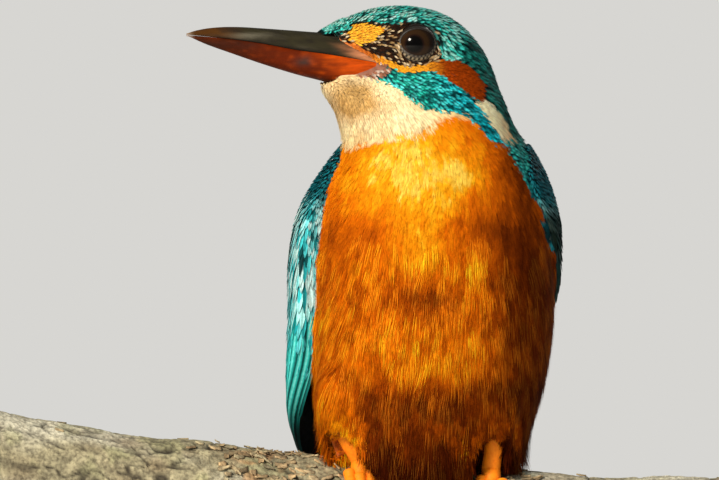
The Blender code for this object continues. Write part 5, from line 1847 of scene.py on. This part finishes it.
def build_lids(side, sign, centre, radius):
    """A ring of beaded bare skin that closes on the eye, with a darker margin."""
    rows, around = 9, 96
    axis = unit(HEAD_AXES[1] * sign + HEAD_AXES[0] * 0.16)
    right = unit(np.cross(axis, HEAD_AXES[2]))
    top = np.cross(right, axis)
    a = np.linspace(0, 2 * math.pi, around, endpoint=False)
    points, colours = [], []
    for k in range(rows):
        t = k / (rows - 1)
        wide = 3.60 + 0.95 * t + 0.20 * np.abs(np.cos(a)) ** 3
        up = (0.80 + 0.12 * t) * np.sin(a) + 0.42 * (1 - t) / wide
        ring = np.cos(a)[:, None] * right + up[:, None] * top
        reach = wide * np.hypot(np.cos(a), up)
        floor = np.sqrt(np.maximum(radius**2 - np.minimum(reach, 4.6) ** 2, 0.5))
        bead = 0.07 * np.sin(a * 30 + 1.5 * k) * math.sin(math.pi * t)
        swell = 0.34 * math.sin(math.pi * min(1.0, t * 1.15)) + 0.05 - 0.50 * max(0.0, t - 0.7)
        points.append(centre + ring * wide[:, None] + axis * (floor + swell + bead)[:, None])
        beads = np.clip(0.25 + 1.5 * np.sin(a * 26 + 2.6 * (k // 3)), 0, 1) * ease(np.sin(a), 0.55, -0.15)
        beads = beads * (0.35 + 0.65 * ease(t, 0.30, 0.55))
        pale = blend((0.012, 0.008, 0.006), (0.52, 0.40, 0.26), beads * 0.9)
        colours.append(blend(pale, (0.006, 0.004, 0.003), 1.0 - math.sin(math.pi * t) ** 0.8))
    mesh = array_mesh(f"eyelids_{side}", np.concatenate(points), grid_faces(rows, around, True))
    faced_out(mesh)
    put_colours(mesh, np.concatenate(colours))
    finish = tinted_finish(f"lid_skin_{side}", (0.4, 0.55), (0.03, 0.02, 0.015), 2500.0, 0.4, 0.00005)
    new_piece(f"eyelids_{side}", mesh, finish, "eye")


def limb(path, radii, around=20, scutes=0.0, count=10.0, colour=(0.8, 0.12, 0.02)):
    """A scaled limb along a path: rings with raised scutes, closed at both ends."""
    rows = len(path)
    run = unit(np.gradient(path, axis=0))
    guide = np.array([0.0, 0.0, 1.0]) if abs(run[0, 2]) < 0.8 else np.array([0.0, 1.0, 0.0])
    side = unit(np.cross(run, guide))
    up = np.cross(side, run)
    a = np.linspace(0, 2 * math.pi, around, endpoint=False)
    step = (np.linspace(0, 1, rows) * count) % 1.0
    ridge = np.clip(step / 0.85, 0, 1) - 2.2 * np.clip((step - 0.85) / 0.15, 0, 1)
    radius = radii[:, None] * (1 + scutes * ridge[:, None] * np.clip(np.cos(a) + 0.4, 0, 1))
    points = path[:, None] + side[:, None] * (np.sin(a) * radius)[..., None]
    points = points + up[:, None] * (np.cos(a) * radius)[..., None]
    dark = np.clip((step - 0.80) / 0.2, 0, 1)[:, None] * np.clip(np.cos(a) + 0.5, 0, 1)
    base = np.array(colour)
    tint = base * (1 - 0.55 * dark[..., None])
    ends = np.array([path[0] - run[0] * radii[0] * 0.3, path[-1] + run[-1] * radii[-1] * 0.3])
    n, i = rows * around, np.arange(around)
    j = (i + 1) % around
    first = np.stack([i, j, i * 0 + n], axis=1)
    last = np.stack([j + n - around, i + n - around, i * 0 + n + 1], axis=1)
    tri = np.concatenate([halved(grid_faces(rows, around, True)), first, last])
    points, tint = points.reshape(-1, 3), tint.reshape(-1, 3)
    return np.concatenate([points, ends]), tri, np.concatenate([tint, np.stack([base, base])])


def spread(keys, rows):
    """Points evenly along a smooth curve through a few points."""
    keys = np.array(keys, float)
    place = np.linspace(0, len(keys) - 1, len(keys))
    t = np.linspace(0, len(keys) - 1, rows)
    return np.stack([through(list(zip(place, keys[:, k])), t) for k in range(3)], axis=1)


TOES = {
    "inner": (-2.35, 43.0, 74.0, 1.0),
    "middle": (0.15, 48.0, 90.0, 1.1),
    "outer": (2.85, 45.0, 80.0, 1.0),
    "hind": (-0.6, 18.0, -12.0, 1.0),
}
TOE_TIPS = {
    "left": {"inner": -3.4, "middle": -0.1, "outer": 3.2, "hind": -1.6},
    "right": {"inner": -4.2, "middle": -1.6, "outer": 1.2, "hind": -1.6},
}


def build_feet(settings):
    """Shanks, toes and claws, each toe gripping round the perch."""
    orange = (0.80, 0.12, 0.004)
    foot = tinted_finish("foot_scales", (0.50, 0.65), orange, 1400.0, 0.35, 0.00006, specular=0.15)
    horn = tinted_finish("claw_horn", (0.25, 0.4), (0.03, 0.015, 0.01), 1800.0, 0.4, 0.00003, 0.3)
    lift = TOE_RADIUS + GAP + 0.35
    for side, out in SIDES.items():
        x = FOOT_X[side]
        heel = np.array(HEEL[side]) + np.array([0.0, 0.0, FEET_HEIGHT])
        ankle = on_perch(x, ANKLE_ANGLE, lift + 1.2)
        pad = on_perch(x, PAD_ANGLE, lift + 0.25)
        tip = on_perch(x, PAD_ANGLE + 9.0, lift)
        heel = heel + np.array([0.0, -1.4, 0.0])
        middle = (heel + ankle) / 2 + np.array([0.3 * out, -0.2, 0.2])
        path = spread([heel, middle, ankle, pad, tip], 48)
        shank = [(0.0, 2.25), (0.4, 2.05), (0.7, 2.1), (0.88, 1.95), (1.0, 1.3)]
        radii = through(shank, np.linspace(0, 1, 48))
        limbs = [limb(path, radii, 24, 0.06, 6.0, settings.foot)]
        claws = []
        for toe, (lean, first, last, thick) in TOES.items():
            tip_lean = TOE_TIPS[side][toe]
            t = np.linspace(0, 1, 44)
            sideways = x + out * (lean + (tip_lean - lean) * t) * (0.84 + 0.12 * t)
            path = on_perch(sideways, first + (last - first) * t, lift - 0.35 * t - 0.05)
            radii = TOE_RADIUS * thick * (1.10 - 0.30 * t + 0.05 * np.cos(6 * math.pi * t))
            limbs.append(limb(path, radii, 20, 0.09, 11.0, settings.foot))
            ahead = math.copysign(1.0, last - first)
            start = last + ahead * (radii[-1] * 0.30) * 4.0
            t = np.linspace(0, 1, 20)
            angle = start + ahead * (CLAW_LENGTH + 0.6) * 4.0 * t
            sideways = x + out * (tip_lean + (tip_lean - lean) * 0.12 * t)
            rise = lift - 0.35 + 0.55 * np.sin(math.pi * np.minimum(t * 1.3, 1.0)) - 0.65 * t * t
            points, tri, _ = limb(on_perch(sideways, angle, rise), 0.80 * (1 - t) ** 0.75 + 0.10, 16)
            shade = ease(np.concatenate([np.repeat(t, 16), [0, 1]]), 0.3, 1.0)
            claws.append((points, tri, blend((0.60, 0.34, 0.22), (0.10, 0.06, 0.05), shade)))
        soles = [f"tarsus_{side}"] + [f"toe_{side}_{toe}" for toe in TOES]
        tips = [f"claw_{side}_{toe}" for toe in TOES]
        for name, group, finish, slot, replaced in (
            (f"foot_{side}", limbs, foot, "foot_skin", soles),
            (f"talons_{side}", claws, horn, "claw", tips),
        ):
            points, tri, tint = joined(group)
            mesh = array_mesh(name, points, tri)
            faced_out(mesh)
            put_colours(mesh, tint)
            new_piece(name, mesh, finish, slot, *replaced)


# Perch and stand.


def bark_flakes(rng):
    """Torn flakes of bark, each a thin curled chip lifting off at one end."""
    s, e = np.linspace(0, 1, 6)[:, None], np.linspace(-1, 1, 4)[None, :]
    rim = [0, 1, 2, 3, 7, 11, 15, 19, 23, 22, 21, 20, 16, 12, 8, 4]
    sides = np.array([[a, b, b + 24, a + 24] for a, b in zip(rim, rim[1:] + rim[:1])])
    quads = grid_faces(6, 4)
    tri = halved(np.concatenate([quads, quads[:, ::-1] + 24, sides]))
    flakes = []
    for _ in range(360):
        crowded = rng.random() < 0.8
        x = rng.uniform(-46.0, 24.0) if crowded else rng.uniform(PERCH_ENDS[0] + 4.0, PERCH_ENDS[1] - 4.0)
        angle = rng.uniform(-8.0, 95.0) if crowded else rng.uniform(-180.0, 180.0)
        long, wide = rng.uniform(0.9, 2.9), rng.uniform(0.35, 0.9)
        curl, lean = rng.uniform(0.12, 0.6) if crowded else 0.12, rng.normal(0.0, 0.35)
        way = rng.choice([-1.0, 1.0])
        half = wide * (1 - 0.55 * s**2) * (1 + 0.25 * np.sin(9.0 * s + rng.uniform(0, 6)))
        along = x + way * long * s + 0 * e
        around = angle + (e * half + lean * long * s) * 4.4
        top = 0.22 + curl * s**2 - 0.18 * e**2
        points = np.concatenate([on_perch(along, around, off).reshape(-1, 3) for off in (top, top - 0.16)])
        shade = rng.uniform(0.6, 1.5) * blend((0.36, 0.31, 0.19), (0.46, 0.27, 0.12), rng.random() * 0.6)
        tint = shade * (0.55 + 0.65 * np.concatenate([s + 0 * e, s + 0 * e]).reshape(-1, 1))
        flakes.append((points, tri, np.clip(tint, 0, 1)))
    return flakes


def build_perch(settings):
    """Bark with plates, lengthwise cracks, a knot and sawn ends."""
    rows, around = 420, 150
    x = np.linspace(PERCH_ENDS[0], PERCH_ENDS[1], rows)
    a = np.linspace(0, 2 * math.pi, around, endpoint=False)
    xx, aa = np.meshgrid(x, a, indexing="ij")
    flat = stack(xx, 13.0 * np.sin(aa), 13.0 * np.cos(aa)).reshape(-1, 3)
    bent = flat + np.stack([soft_noise(flat, 7.0, k) for k in (71, 72, 73)], axis=1) * 2.4
    crack = 1 - np.clip(np.abs(soft_noise(bent * (0.28, 1.0, 1.0), 2.6, 74)) * 7.0, 0, 1)
    fine = 1 - np.clip(np.abs(soft_noise(bent * (0.14, 1.0, 1.0), 1.0, 75)) * 4.5, 0, 1)
    plates = soft_noise(bent * (0.6, 1, 1), 4.5, 76)
    worn = np.clip(soft_noise(flat, 12.0, 77) * 1.8 + 0.2, 0, 1)
    grain = soft_noise(flat * (0.4, 1, 1), 0.6, 78)
    relief = -0.90 * crack**2 * (0.35 + 0.65 * worn) - 0.40 * fine + 0.24 * plates + 0.14 * grain
    lump = 0.45 * np.sin(3 * aa + xx / 13.0) + 0.25 * np.sin(5 * aa - xx / 7.0)
    lump = lump * (1 - np.maximum(0.0, np.cos(aa)))
    knot = 2.2 * np.exp(-(((xx + 62.0) / 6.0) ** 2)) * np.maximum(0.0, np.cos(aa - 2.2)) ** 6
    r = perch_radius(xx) + lump + knot + relief.reshape(xx.shape) - 0.12
    points = stack(xx, -r * np.sin(aa), perch_middle(xx) + r * np.cos(aa)).reshape(-1, 3)
    lichen = np.clip(soft_noise(flat, 6.0, 79) * 2.2 - 0.35 + 0.8 * soft_noise(flat, 1.6, 80), 0, 1)
    pale = np.clip(soft_noise(flat * (0.5, 1, 1), 8.0, 81) * 2.0 - 0.3, 0, 1)
    torn = ease(soft_noise(flat * (0.6, 1, 1), 2.2, 82), 0.10, 0.40) * (np.cos(aa).ravel() > 0.35)
    along = flat[:, 0]
    places = np.exp(-(((along + 37.0) / 6.0) ** 2))
    places = places + 0.8 * ease(along, -12.0, -4.0) * ease(along, 22.0, 14.0)
    tint = np.array(settings.bark)
    for colour, share in (
        ((0.66, 0.63, 0.50), pale * 0.8),
        ((0.34, 0.34, 0.17), lichen * 0.45),
        ((0.22, 0.150, 0.080), np.clip(-plates, 0, 1) * 0.6),
        ((0.46, 0.24, 0.10), torn * np.clip(places, 0, 1) * 0.75),
    ):
        tint = blend(tint, colour, share)
    strands = soft_noise(flat * (1.0, 0.22, 0.22), 0.55, 84)
    tint = tint * (1 + 0.30 * grain[:, None] + 0.25 * strands[:, None])
    # The cracks darken nearly to black, partly the darker bark inside them and partly painted shade, most
    # where the cracks run deepest.
    gaps = np.clip(crack * (0.4 + 0.6 * worn) * 0.95 + 0.45 * fine, 0, 0.95)
    tint = blend(tint, (0.018, 0.013, 0.009), gaps)
    body = (points, halved(grid_faces(rows, around, True)), tint)
    whole, tri, tints = joined([body] + bark_flakes(np.random.default_rng(83)))
    mesh = array_mesh("bark", whole, tri)
    faced_out(mesh)
    put_colours(mesh, tints)
    finish = tinted_finish("bark", (0.75, 0.95), (0.035, 0.026, 0.018), 1300.0, 0.55, 0.0003, detail=6.0)
    new_piece("bark", mesh, finish, "bark", "perch")
    wood = tinted_finish("cut_wood", (0.6, 0.8), (0.22, 0.12, 0.05), 900.0, 0.45, 0.00015)
    for name, row, way in (("cut_end_left", 0, -1), ("cut_end_right", rows - 1, 1)):
        sawn_end(name, points.reshape(rows, around, 3)[row], x[row], way, wood)


def sawn_end(name, ring, x, way, wood):
    """A slightly domed disc with year rings, inside the bark's last ring."""
    centre = ring.mean(axis=0)
    shares = np.linspace(1.0, 0.0, 26)
    grid = centre + (ring - centre) * shares[:, None, None]
    grid[:, :, 0] = x + way * (0.05 + 0.25 * np.sin(math.pi * shares[:, None]) * 0.4)
    distance = np.linalg.norm(grid - centre, axis=2)
    turn = np.arange(len(ring)) / len(ring) * 12.57
    rings = 0.5 + 0.5 * np.sin(distance * 5.2 + 0.5 * np.sin(turn))
    tint = blend((0.42, 0.27, 0.13), (0.24, 0.13, 0.055), rings * 0.8)
    tint = blend(tint, (0.05, 0.032, 0.02), ease(shares, 0.93, 0.99)[:, None])
    tint = blend(tint, (0.13, 0.07, 0.03), ease(shares, 0.10, 0.03)[:, None])
    mesh = array_mesh(name, grid.reshape(-1, 3), grid_faces(26, len(ring), True))
    if mesh.polygons[5].normal.x * way < 0:
        mesh.flip_normals()
    put_colours(mesh, tint.reshape(-1, 3))
    new_piece(name, mesh, wood, "bark")


def bevelled(mesh, wanted, **values):
    """Bevels the edges for which wanted(edge) holds, in edit mode."""
    bpy.ops.mesh.select_all(action="DESELECT")
    bm = bmesh.from_edit_mesh(mesh)
    for edge in bm.edges:
        edge.select = wanted(edge)
    bmesh.update_edit_mesh(mesh)
    bpy.ops.mesh.bevel(**values)


def build_stand(settings):
    """A moulded wooden base and two brushed rods with collars."""
    low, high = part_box("stand_base")
    clear_selection()
    bpy.ops.mesh.primitive_cube_add(size=1.0, location=(0, 0, 0))
    base = bpy.context.object
    base.name = "base_board"
    with edited(base.data) as bm:
        bmesh.ops.scale(bm, vec=high - low, verts=bm.verts)
        bmesh.ops.translate(bm, vec=(low + high) / 2, verts=bm.verts)
    make_active(base)
    bpy.ops.object.mode_set(mode="EDIT")
    bpy.ops.mesh.select_mode(type="EDGE")

    def upright(edge):
        return abs(edge.verts[0].co.z - edge.verts[1].co.z) > 0.5 * (high.z - low.z)

    def upper_rim(edge):
        on_top = all(v.co.z > high.z - 0.01 * MM for v in edge.verts) and edge.calc_length() < 0.12
        return on_top and any(abs(f.normal.z) < 0.5 for f in edge.link_faces)

    bevelled(base.data, upright, offset=14.0 * MM, segments=14, profile=0.5)
    bevelled(base.data, upper_rim, offset=1.5 * MM, segments=5, profile=0.55)
    bpy.ops.object.mode_set(mode="OBJECT")
    base.data.shade_smooth()
    base.data.set_sharp_from_angle(angle=math.radians(40.0))
    base.data.materials.clear()
    base.data.materials.append(wood_finish(settings.wood_dark, settings.wood_light))
    put_on_body(base, "base_wood", "stand_base")
    steel = steel_finish()
    for side in SIDES:
        build_rod(side, high.z, steel)


def build_rod(side, board_top, steel):
    """A rod with a turned collar where it stands on the board."""
    low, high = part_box(f"stand_rod_{side}")
    centre, radius, around = (low + high) / 2, (high.x - low.x) / 2, 48
    clear_selection()
    bpy.ops.mesh.primitive_cylinder_add(
        vertices=around, radius=radius, depth=high.z - low.z, location=(0, 0, 0), end_fill_type="NGON"
    )
    rod = bpy.context.object
    rod.name = f"rod_{side}"
    inner = radius / MM - 0.1
    profile = [(inner, 0.0), (5.2, 0.0), (5.2, 1.1), (4.6, 1.8), (3.2, 2.3), (inner, 2.4)]
    angles = np.linspace(0, 2 * math.pi, around, endpoint=False)
    with edited(rod.data) as bm:
        bmesh.ops.translate(bm, vec=centre, verts=bm.verts)
        tube(bm, [
            [
                (centre.x + r * MM * math.cos(a), centre.y + r * MM * math.sin(a), board_top + z * MM)
                for a in angles
            ]
            for r, z in profile
        ])
        bmesh.ops.recalc_face_normals(bm, faces=bm.faces)
    rod.data.shade_smooth()
    rod.data.set_sharp_from_angle(angle=math.radians(35.0))
    rod.data.materials.append(steel)
    put_on_body(rod, "rod_steel", f"stand_rod_{side}")


def wood_finish(dark, light):
    material, tree, shader = shader_tree("dark_wood")
    place = node(tree, "TexCoord").outputs["Object"]
    long = node(tree, "Mapping", Vector=place, Scale=(0.10, 1.0, 1.0)).outputs["Vector"]
    rings = node(tree, "TexNoise", Vector=long, Scale=160.0, Detail=5.0).outputs["Fac"]
    colour = banded(tree, rings, ((0.35, dark), (0.68, light)))
    pores = mottle(tree, colour, (0.02, 0.009, 0.005), long, Scale=1500.0, Amount=0.6, Low=0.55, High=0.7)
    plug(
        tree, shader, Base_Color=pores["Color"], Normal=bumped(tree, pores["Height"], 0.25, 0.0001),
        Roughness=node(tree, "MapRange", in0=rings, in3=0.28, in4=0.42).outputs[0], Coat_Weight=0.25,
        Coat_Roughness=0.2,
    )
    return material


def steel_finish():
    material, tree, shader = shader_tree("brushed_steel")
    place = node(tree, "TexCoord").outputs["Object"]
    fine = node(tree, "Mapping", Vector=place, Scale=(1.0, 1.0, 12.0)).outputs["Vector"]
    lines = mottle(tree, (0.60, 0.61, 0.62, 1.0), (0.42, 0.43, 0.44), fine, Scale=500.0, Amount=0.7)
    rough = node(tree, "MapRange", in0=lines["Height"], in3=0.22, in4=0.38).outputs[0]
    plug(tree, shader, Base_Color=lines["Color"], Roughness=rough, Metallic=1.0)
    return material


# Stage.


def light(name, place, aim, size, power, colour):
    data = bpy.data.lights.new(name, "AREA")
    data.shape = "DISK"
    data.size = size
    data.energy = power
    data.color = colour
    made = bpy.data.objects.new(name, data)
    made.location = place
    made.rotation_euler = (Vector(aim) - Vector(place)).to_track_quat("-Z", "Y").to_euler()
    bpy.context.scene.collection.objects.link(made)
    return made


def build_stage(settings):
    """Floor, pale backdrop, three lights and the camera."""
    clear_selection()
    bpy.ops.mesh.primitive_circle_add(vertices=128, radius=1.6, fill_type="NGON", location=(0, 0, 0))
    floor = bpy.context.object
    floor.name = "floor"
    material, tree, shader = shader_tree("floor")
    paper = np.array(settings.floor)
    place = node(tree, "TexCoord").outputs["Object"]
    grain = mottle(tree, (*paper, 1.0), paper * 0.925, place, Scale=40.0)
    plug(tree, shader, Base_Color=grain["Color"], Roughness=0.9)
    floor.data.materials.append(material)
    world = bpy.data.worlds.new("studio")
    bpy.context.scene.world = world
    world.use_nodes = True
    tree = world.node_tree
    glow = plug(tree, tree.nodes["Background"], Color=(0.86, 0.92, 1.0, 1.0), Strength=settings.fill)
    pale = node(tree, "Background", Color=(0.80, 0.79, 0.76, 1.0), Strength=settings.backdrop)
    seen = node(tree, "LightPath").outputs["Is Camera Ray"]
    mix = node(tree, "MixShader", in0=seen, in1=glow.outputs[0], in2=pale.outputs[0])
    tree.links.new(mix.outputs[0], tree.nodes["World Output"].inputs["Surface"])
    bpy.context.scene.view_settings.view_transform = "Standard"
    middle = (0.0, 0.0, 0.13)
    light("key", (-0.75, -1.20, 0.85), middle, 0.30, settings.key, (1.0, 0.92, 0.78))
    soft = light("fill", (0.9, -1.3, 0.5), middle, 0.9, settings.key * 0.09, (0.9, 0.95, 1.0))
    soft.visible_glossy = False
    light("rim", (0.7, 0.9, 0.8), middle, 0.5, settings.key * 0.10, (1.0, 0.95, 0.85))
    data = bpy.data.cameras.new("camera")
    data.sensor_width = 36.0
    data.lens = data.sensor_width * CAMERA_DISTANCE / VIEW_WIDTH
    data.clip_start, data.clip_end = 0.05, 60.0
    camera = bpy.data.objects.new("camera", data)
    camera.location = (-0.01455, -CAMERA_DISTANCE, 0.126)
    camera.rotation_euler = (math.radians(90.0), 0.0, 0.0)
    bpy.context.scene.collection.objects.link(camera)
    bpy.context.scene.camera = camera


# The add-on.


def factor(name, description, low, high):
    """A setting that multiplies a usual size."""
    return bpy.props.FloatProperty(
        name=name, description=description, default=1.0, min=low, max=high, subtype="FACTOR"
    )


def colour_setting(name, description, default):
    return bpy.props.FloatVectorProperty(
        name=name, description=description, default=default, min=0.0, max=1.0, subtype="COLOR"
    )


class KingfisherPlumage(bpy.types.PropertyGroup):
    skin_grain: bpy.props.FloatProperty(
        name="Skin Grain", description="Size of the skin's facets", default=0.0008, min=0.0004, unit="LENGTH"
    )
    spacing: factor("Feather Spacing", "Distance between feathers against their usual one", 0.5, 2.0)
    length: factor("Feather Length", "Length of the small feathers against their usual one", 0.3, 1.5)
    width: factor("Feather Width", "Width of the small feathers against their usual one", 0.3, 2.0)
    crown: colour_setting("Crown", "Feather ends on the crown", COLOURS["crown"][1])
    nape: colour_setting("Nape", "Feather ends on the nape", COLOURS["nape"][1])
    spot: colour_setting("Loral Spot", "Spot between bill and eye", COLOURS["spot"][1])
    ear: colour_setting("Ear Coverts", "Rust patch behind the eye", COLOURS["ear"][1])
    neck_patch: colour_setting("Neck Patch", "Pale flash on the side of the neck", COLOURS["neck_patch"][1])
    throat: colour_setting("Throat", "Chin and throat", COLOURS["throat"][1])
    back: colour_setting("Back", "Stripe down the back and rump", COLOURS["back"][1])
    mantle: colour_setting("Mantle", "Beside the stripe, over the shoulders", COLOURS["mantle"][1])
    vent: colour_setting("Vent", "Under the tail", COLOURS["vent"][1])


class KingfisherBareParts(bpy.types.PropertyGroup):
    iris: colour_setting("Iris", "Ring round the pupil", (0.026, 0.012, 0.004))
    foot: colour_setting("Feet", "Shanks and toes", (1.0, 0.27, 0.010))


class KingfisherMount(bpy.types.PropertyGroup):
    bark: colour_setting("Bark", "Bark of the perch", (0.36, 0.32, 0.20))
    wood_dark: colour_setting("Dark Wood", "Dark rings of the base", (0.055, 0.024, 0.011))
    wood_light: colour_setting("Light Wood", "Light rings of the base", (0.16, 0.075, 0.032))


class KingfisherStage(bpy.types.PropertyGroup):
    key: bpy.props.FloatProperty(
        name="Key", description="Power of the key light", default=34.0, min=0.0, unit="POWER"
    )
    fill: bpy.props.FloatProperty(name="Fill", description="Light from all round", default=0.16, min=0.0)
    backdrop: bpy.props.FloatProperty(
        name="Backdrop", description="Brightness behind", default=0.85, min=0.0
    )
    floor: colour_setting("Floor", "Floor under the stand", (0.80, 0.79, 0.76))


class KINGFISHER_OT_skin(bpy.types.Operator):
    """Make the skin under the feathers"""

    bl_idname = "kingfisher.skin"
    bl_label = "Skin"

    def execute(self, context):
        build_skin(context.scene.kingfisher_plumage)
        return {"FINISHED"}


class KINGFISHER_OT_head_scales(bpy.types.Operator):
    """Lay the feathers of crown, nape and cheek stripe"""

    bl_idname = "kingfisher.head_scales"
    bl_label = "Head Scales"

    def execute(self, context):
        build_head_scales(context.scene.kingfisher_plumage)
        return {"FINISHED"}


class KINGFISHER_OT_face(bpy.types.Operator):
    """Lay the soft feathers of face and throat"""

    bl_idname = "kingfisher.face"
    bl_label = "Face"

    def execute(self, context):
        build_face(context.scene.kingfisher_plumage)
        return {"FINISHED"}


class KINGFISHER_OT_breast(bpy.types.Operator):
    """Lay the feathers of breast, belly and vent"""

    bl_idname = "kingfisher.breast"
    bl_label = "Breast"

    def execute(self, context):
        build_breast(context.scene.kingfisher_plumage)
        return {"FINISHED"}


class KINGFISHER_OT_back(bpy.types.Operator):
    """Lay the feathers of back and mantle"""

    bl_idname = "kingfisher.back"
    bl_label = "Back"

    def execute(self, context):
        build_back(context.scene.kingfisher_plumage)
        return {"FINISHED"}


class KINGFISHER_OT_coverts(bpy.types.Operator):
    """Lay the coverts of both wings"""

    bl_idname = "kingfisher.coverts"
    bl_label = "Coverts"

    def execute(self, context):
        build_coverts(context.scene.kingfisher_plumage)
        return {"FINISHED"}


class KINGFISHER_OT_quills(bpy.types.Operator):
    """Make the quills and linings of both folded wings"""

    bl_idname = "kingfisher.quills"
    bl_label = "Quills"

    def execute(self, context):
        build_quills(context.scene.kingfisher_plumage)
        return {"FINISHED"}


class KINGFISHER_OT_tail(bpy.types.Operator):
    """Make the tail feathers"""

    bl_idname = "kingfisher.tail"
    bl_label = "Tail"

    def execute(self, context):
        build_tail(context.scene.kingfisher_plumage)
        return {"FINISHED"}


class KINGFISHER_OT_bill(bpy.types.Operator):
    """Make both halves of the bill"""

    bl_idname = "kingfisher.bill"
    bl_label = "Bill"

    def execute(self, context):
        build_bill(context.scene.kingfisher_bare_parts)
        return {"FINISHED"}


class KINGFISHER_OT_eyes(bpy.types.Operator):
    """Make the eyes and their lids"""

    bl_idname = "kingfisher.eyes"
    bl_label = "Eyes"

    def execute(self, context):
        build_eyes(context.scene.kingfisher_bare_parts)
        return {"FINISHED"}


class KINGFISHER_OT_feet(bpy.types.Operator):
    """Make shanks, toes and claws"""

    bl_idname = "kingfisher.feet"
    bl_label = "Feet"

    def execute(self, context):
        build_feet(context.scene.kingfisher_bare_parts)
        return {"FINISHED"}


class KINGFISHER_OT_perch(bpy.types.Operator):
    """Make the bark and the sawn ends"""

    bl_idname = "kingfisher.perch"
    bl_label = "Perch"

    def execute(self, context):
        build_perch(context.scene.kingfisher_mount)
        return {"FINISHED"}


class KINGFISHER_OT_stand(bpy.types.Operator):
    """Make the base, its rods and their collars"""

    bl_idname = "kingfisher.stand"
    bl_label = "Stand"

    def execute(self, context):
        build_stand(context.scene.kingfisher_mount)
        return {"FINISHED"}


class KINGFISHER_OT_stage(bpy.types.Operator):
    """Make floor, lights and camera"""

    bl_idname = "kingfisher.stage"
    bl_label = "Stage"

    def execute(self, context):
        build_stage(context.scene.kingfisher_stage)
        return {"FINISHED"}


GROUPS = {
    "kingfisher_plumage": KingfisherPlumage,
    "kingfisher_bare_parts": KingfisherBareParts,
    "kingfisher_mount": KingfisherMount,
    "kingfisher_stage": KingfisherStage,
}
OPERATORS = (
    KINGFISHER_OT_skin,
    KINGFISHER_OT_head_scales,
    KINGFISHER_OT_face,
    KINGFISHER_OT_breast,
    KINGFISHER_OT_back,
    KINGFISHER_OT_coverts,
    KINGFISHER_OT_quills,
    KINGFISHER_OT_tail,
    KINGFISHER_OT_bill,
    KINGFISHER_OT_eyes,
    KINGFISHER_OT_feet,
    KINGFISHER_OT_perch,
    KINGFISHER_OT_stand,
    KINGFISHER_OT_stage,
)


class KINGFISHER_PT_panel(bpy.types.Panel):
    bl_label = "Kingfisher"
    bl_idname = "KINGFISHER_PT_panel"
    bl_space_type = "VIEW_3D"
    bl_region_type = "UI"
    bl_category = "Kingfisher"

    def draw(self, context):
        for attribute, group in GROUPS.items():
            box = self.layout.box()
            for name in group.__annotations__:
                box.prop(getattr(context.scene, attribute), name)
        for operator in OPERATORS:
            self.layout.operator(operator.bl_idname)


CLASSES = (*GROUPS.values(), *OPERATORS, KINGFISHER_PT_panel)


def register():
    for cls in CLASSES:
        bpy.utils.register_class(cls)
    for attribute, group in GROUPS.items():
        setattr(bpy.types.Scene, attribute, bpy.props.PointerProperty(type=group))


def unregister():
    for attribute in GROUPS:
        delattr(bpy.types.Scene, attribute)
    for cls in reversed(CLASSES):
        bpy.utils.unregister_class(cls)


def main():
    """Makes every piece."""
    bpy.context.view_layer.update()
    register()
    for operator in OPERATORS:
        group, name = operator.bl_idname.split(".")
        getattr(getattr(bpy.ops, group), name)()


if __name__ == "__main__":
    main()
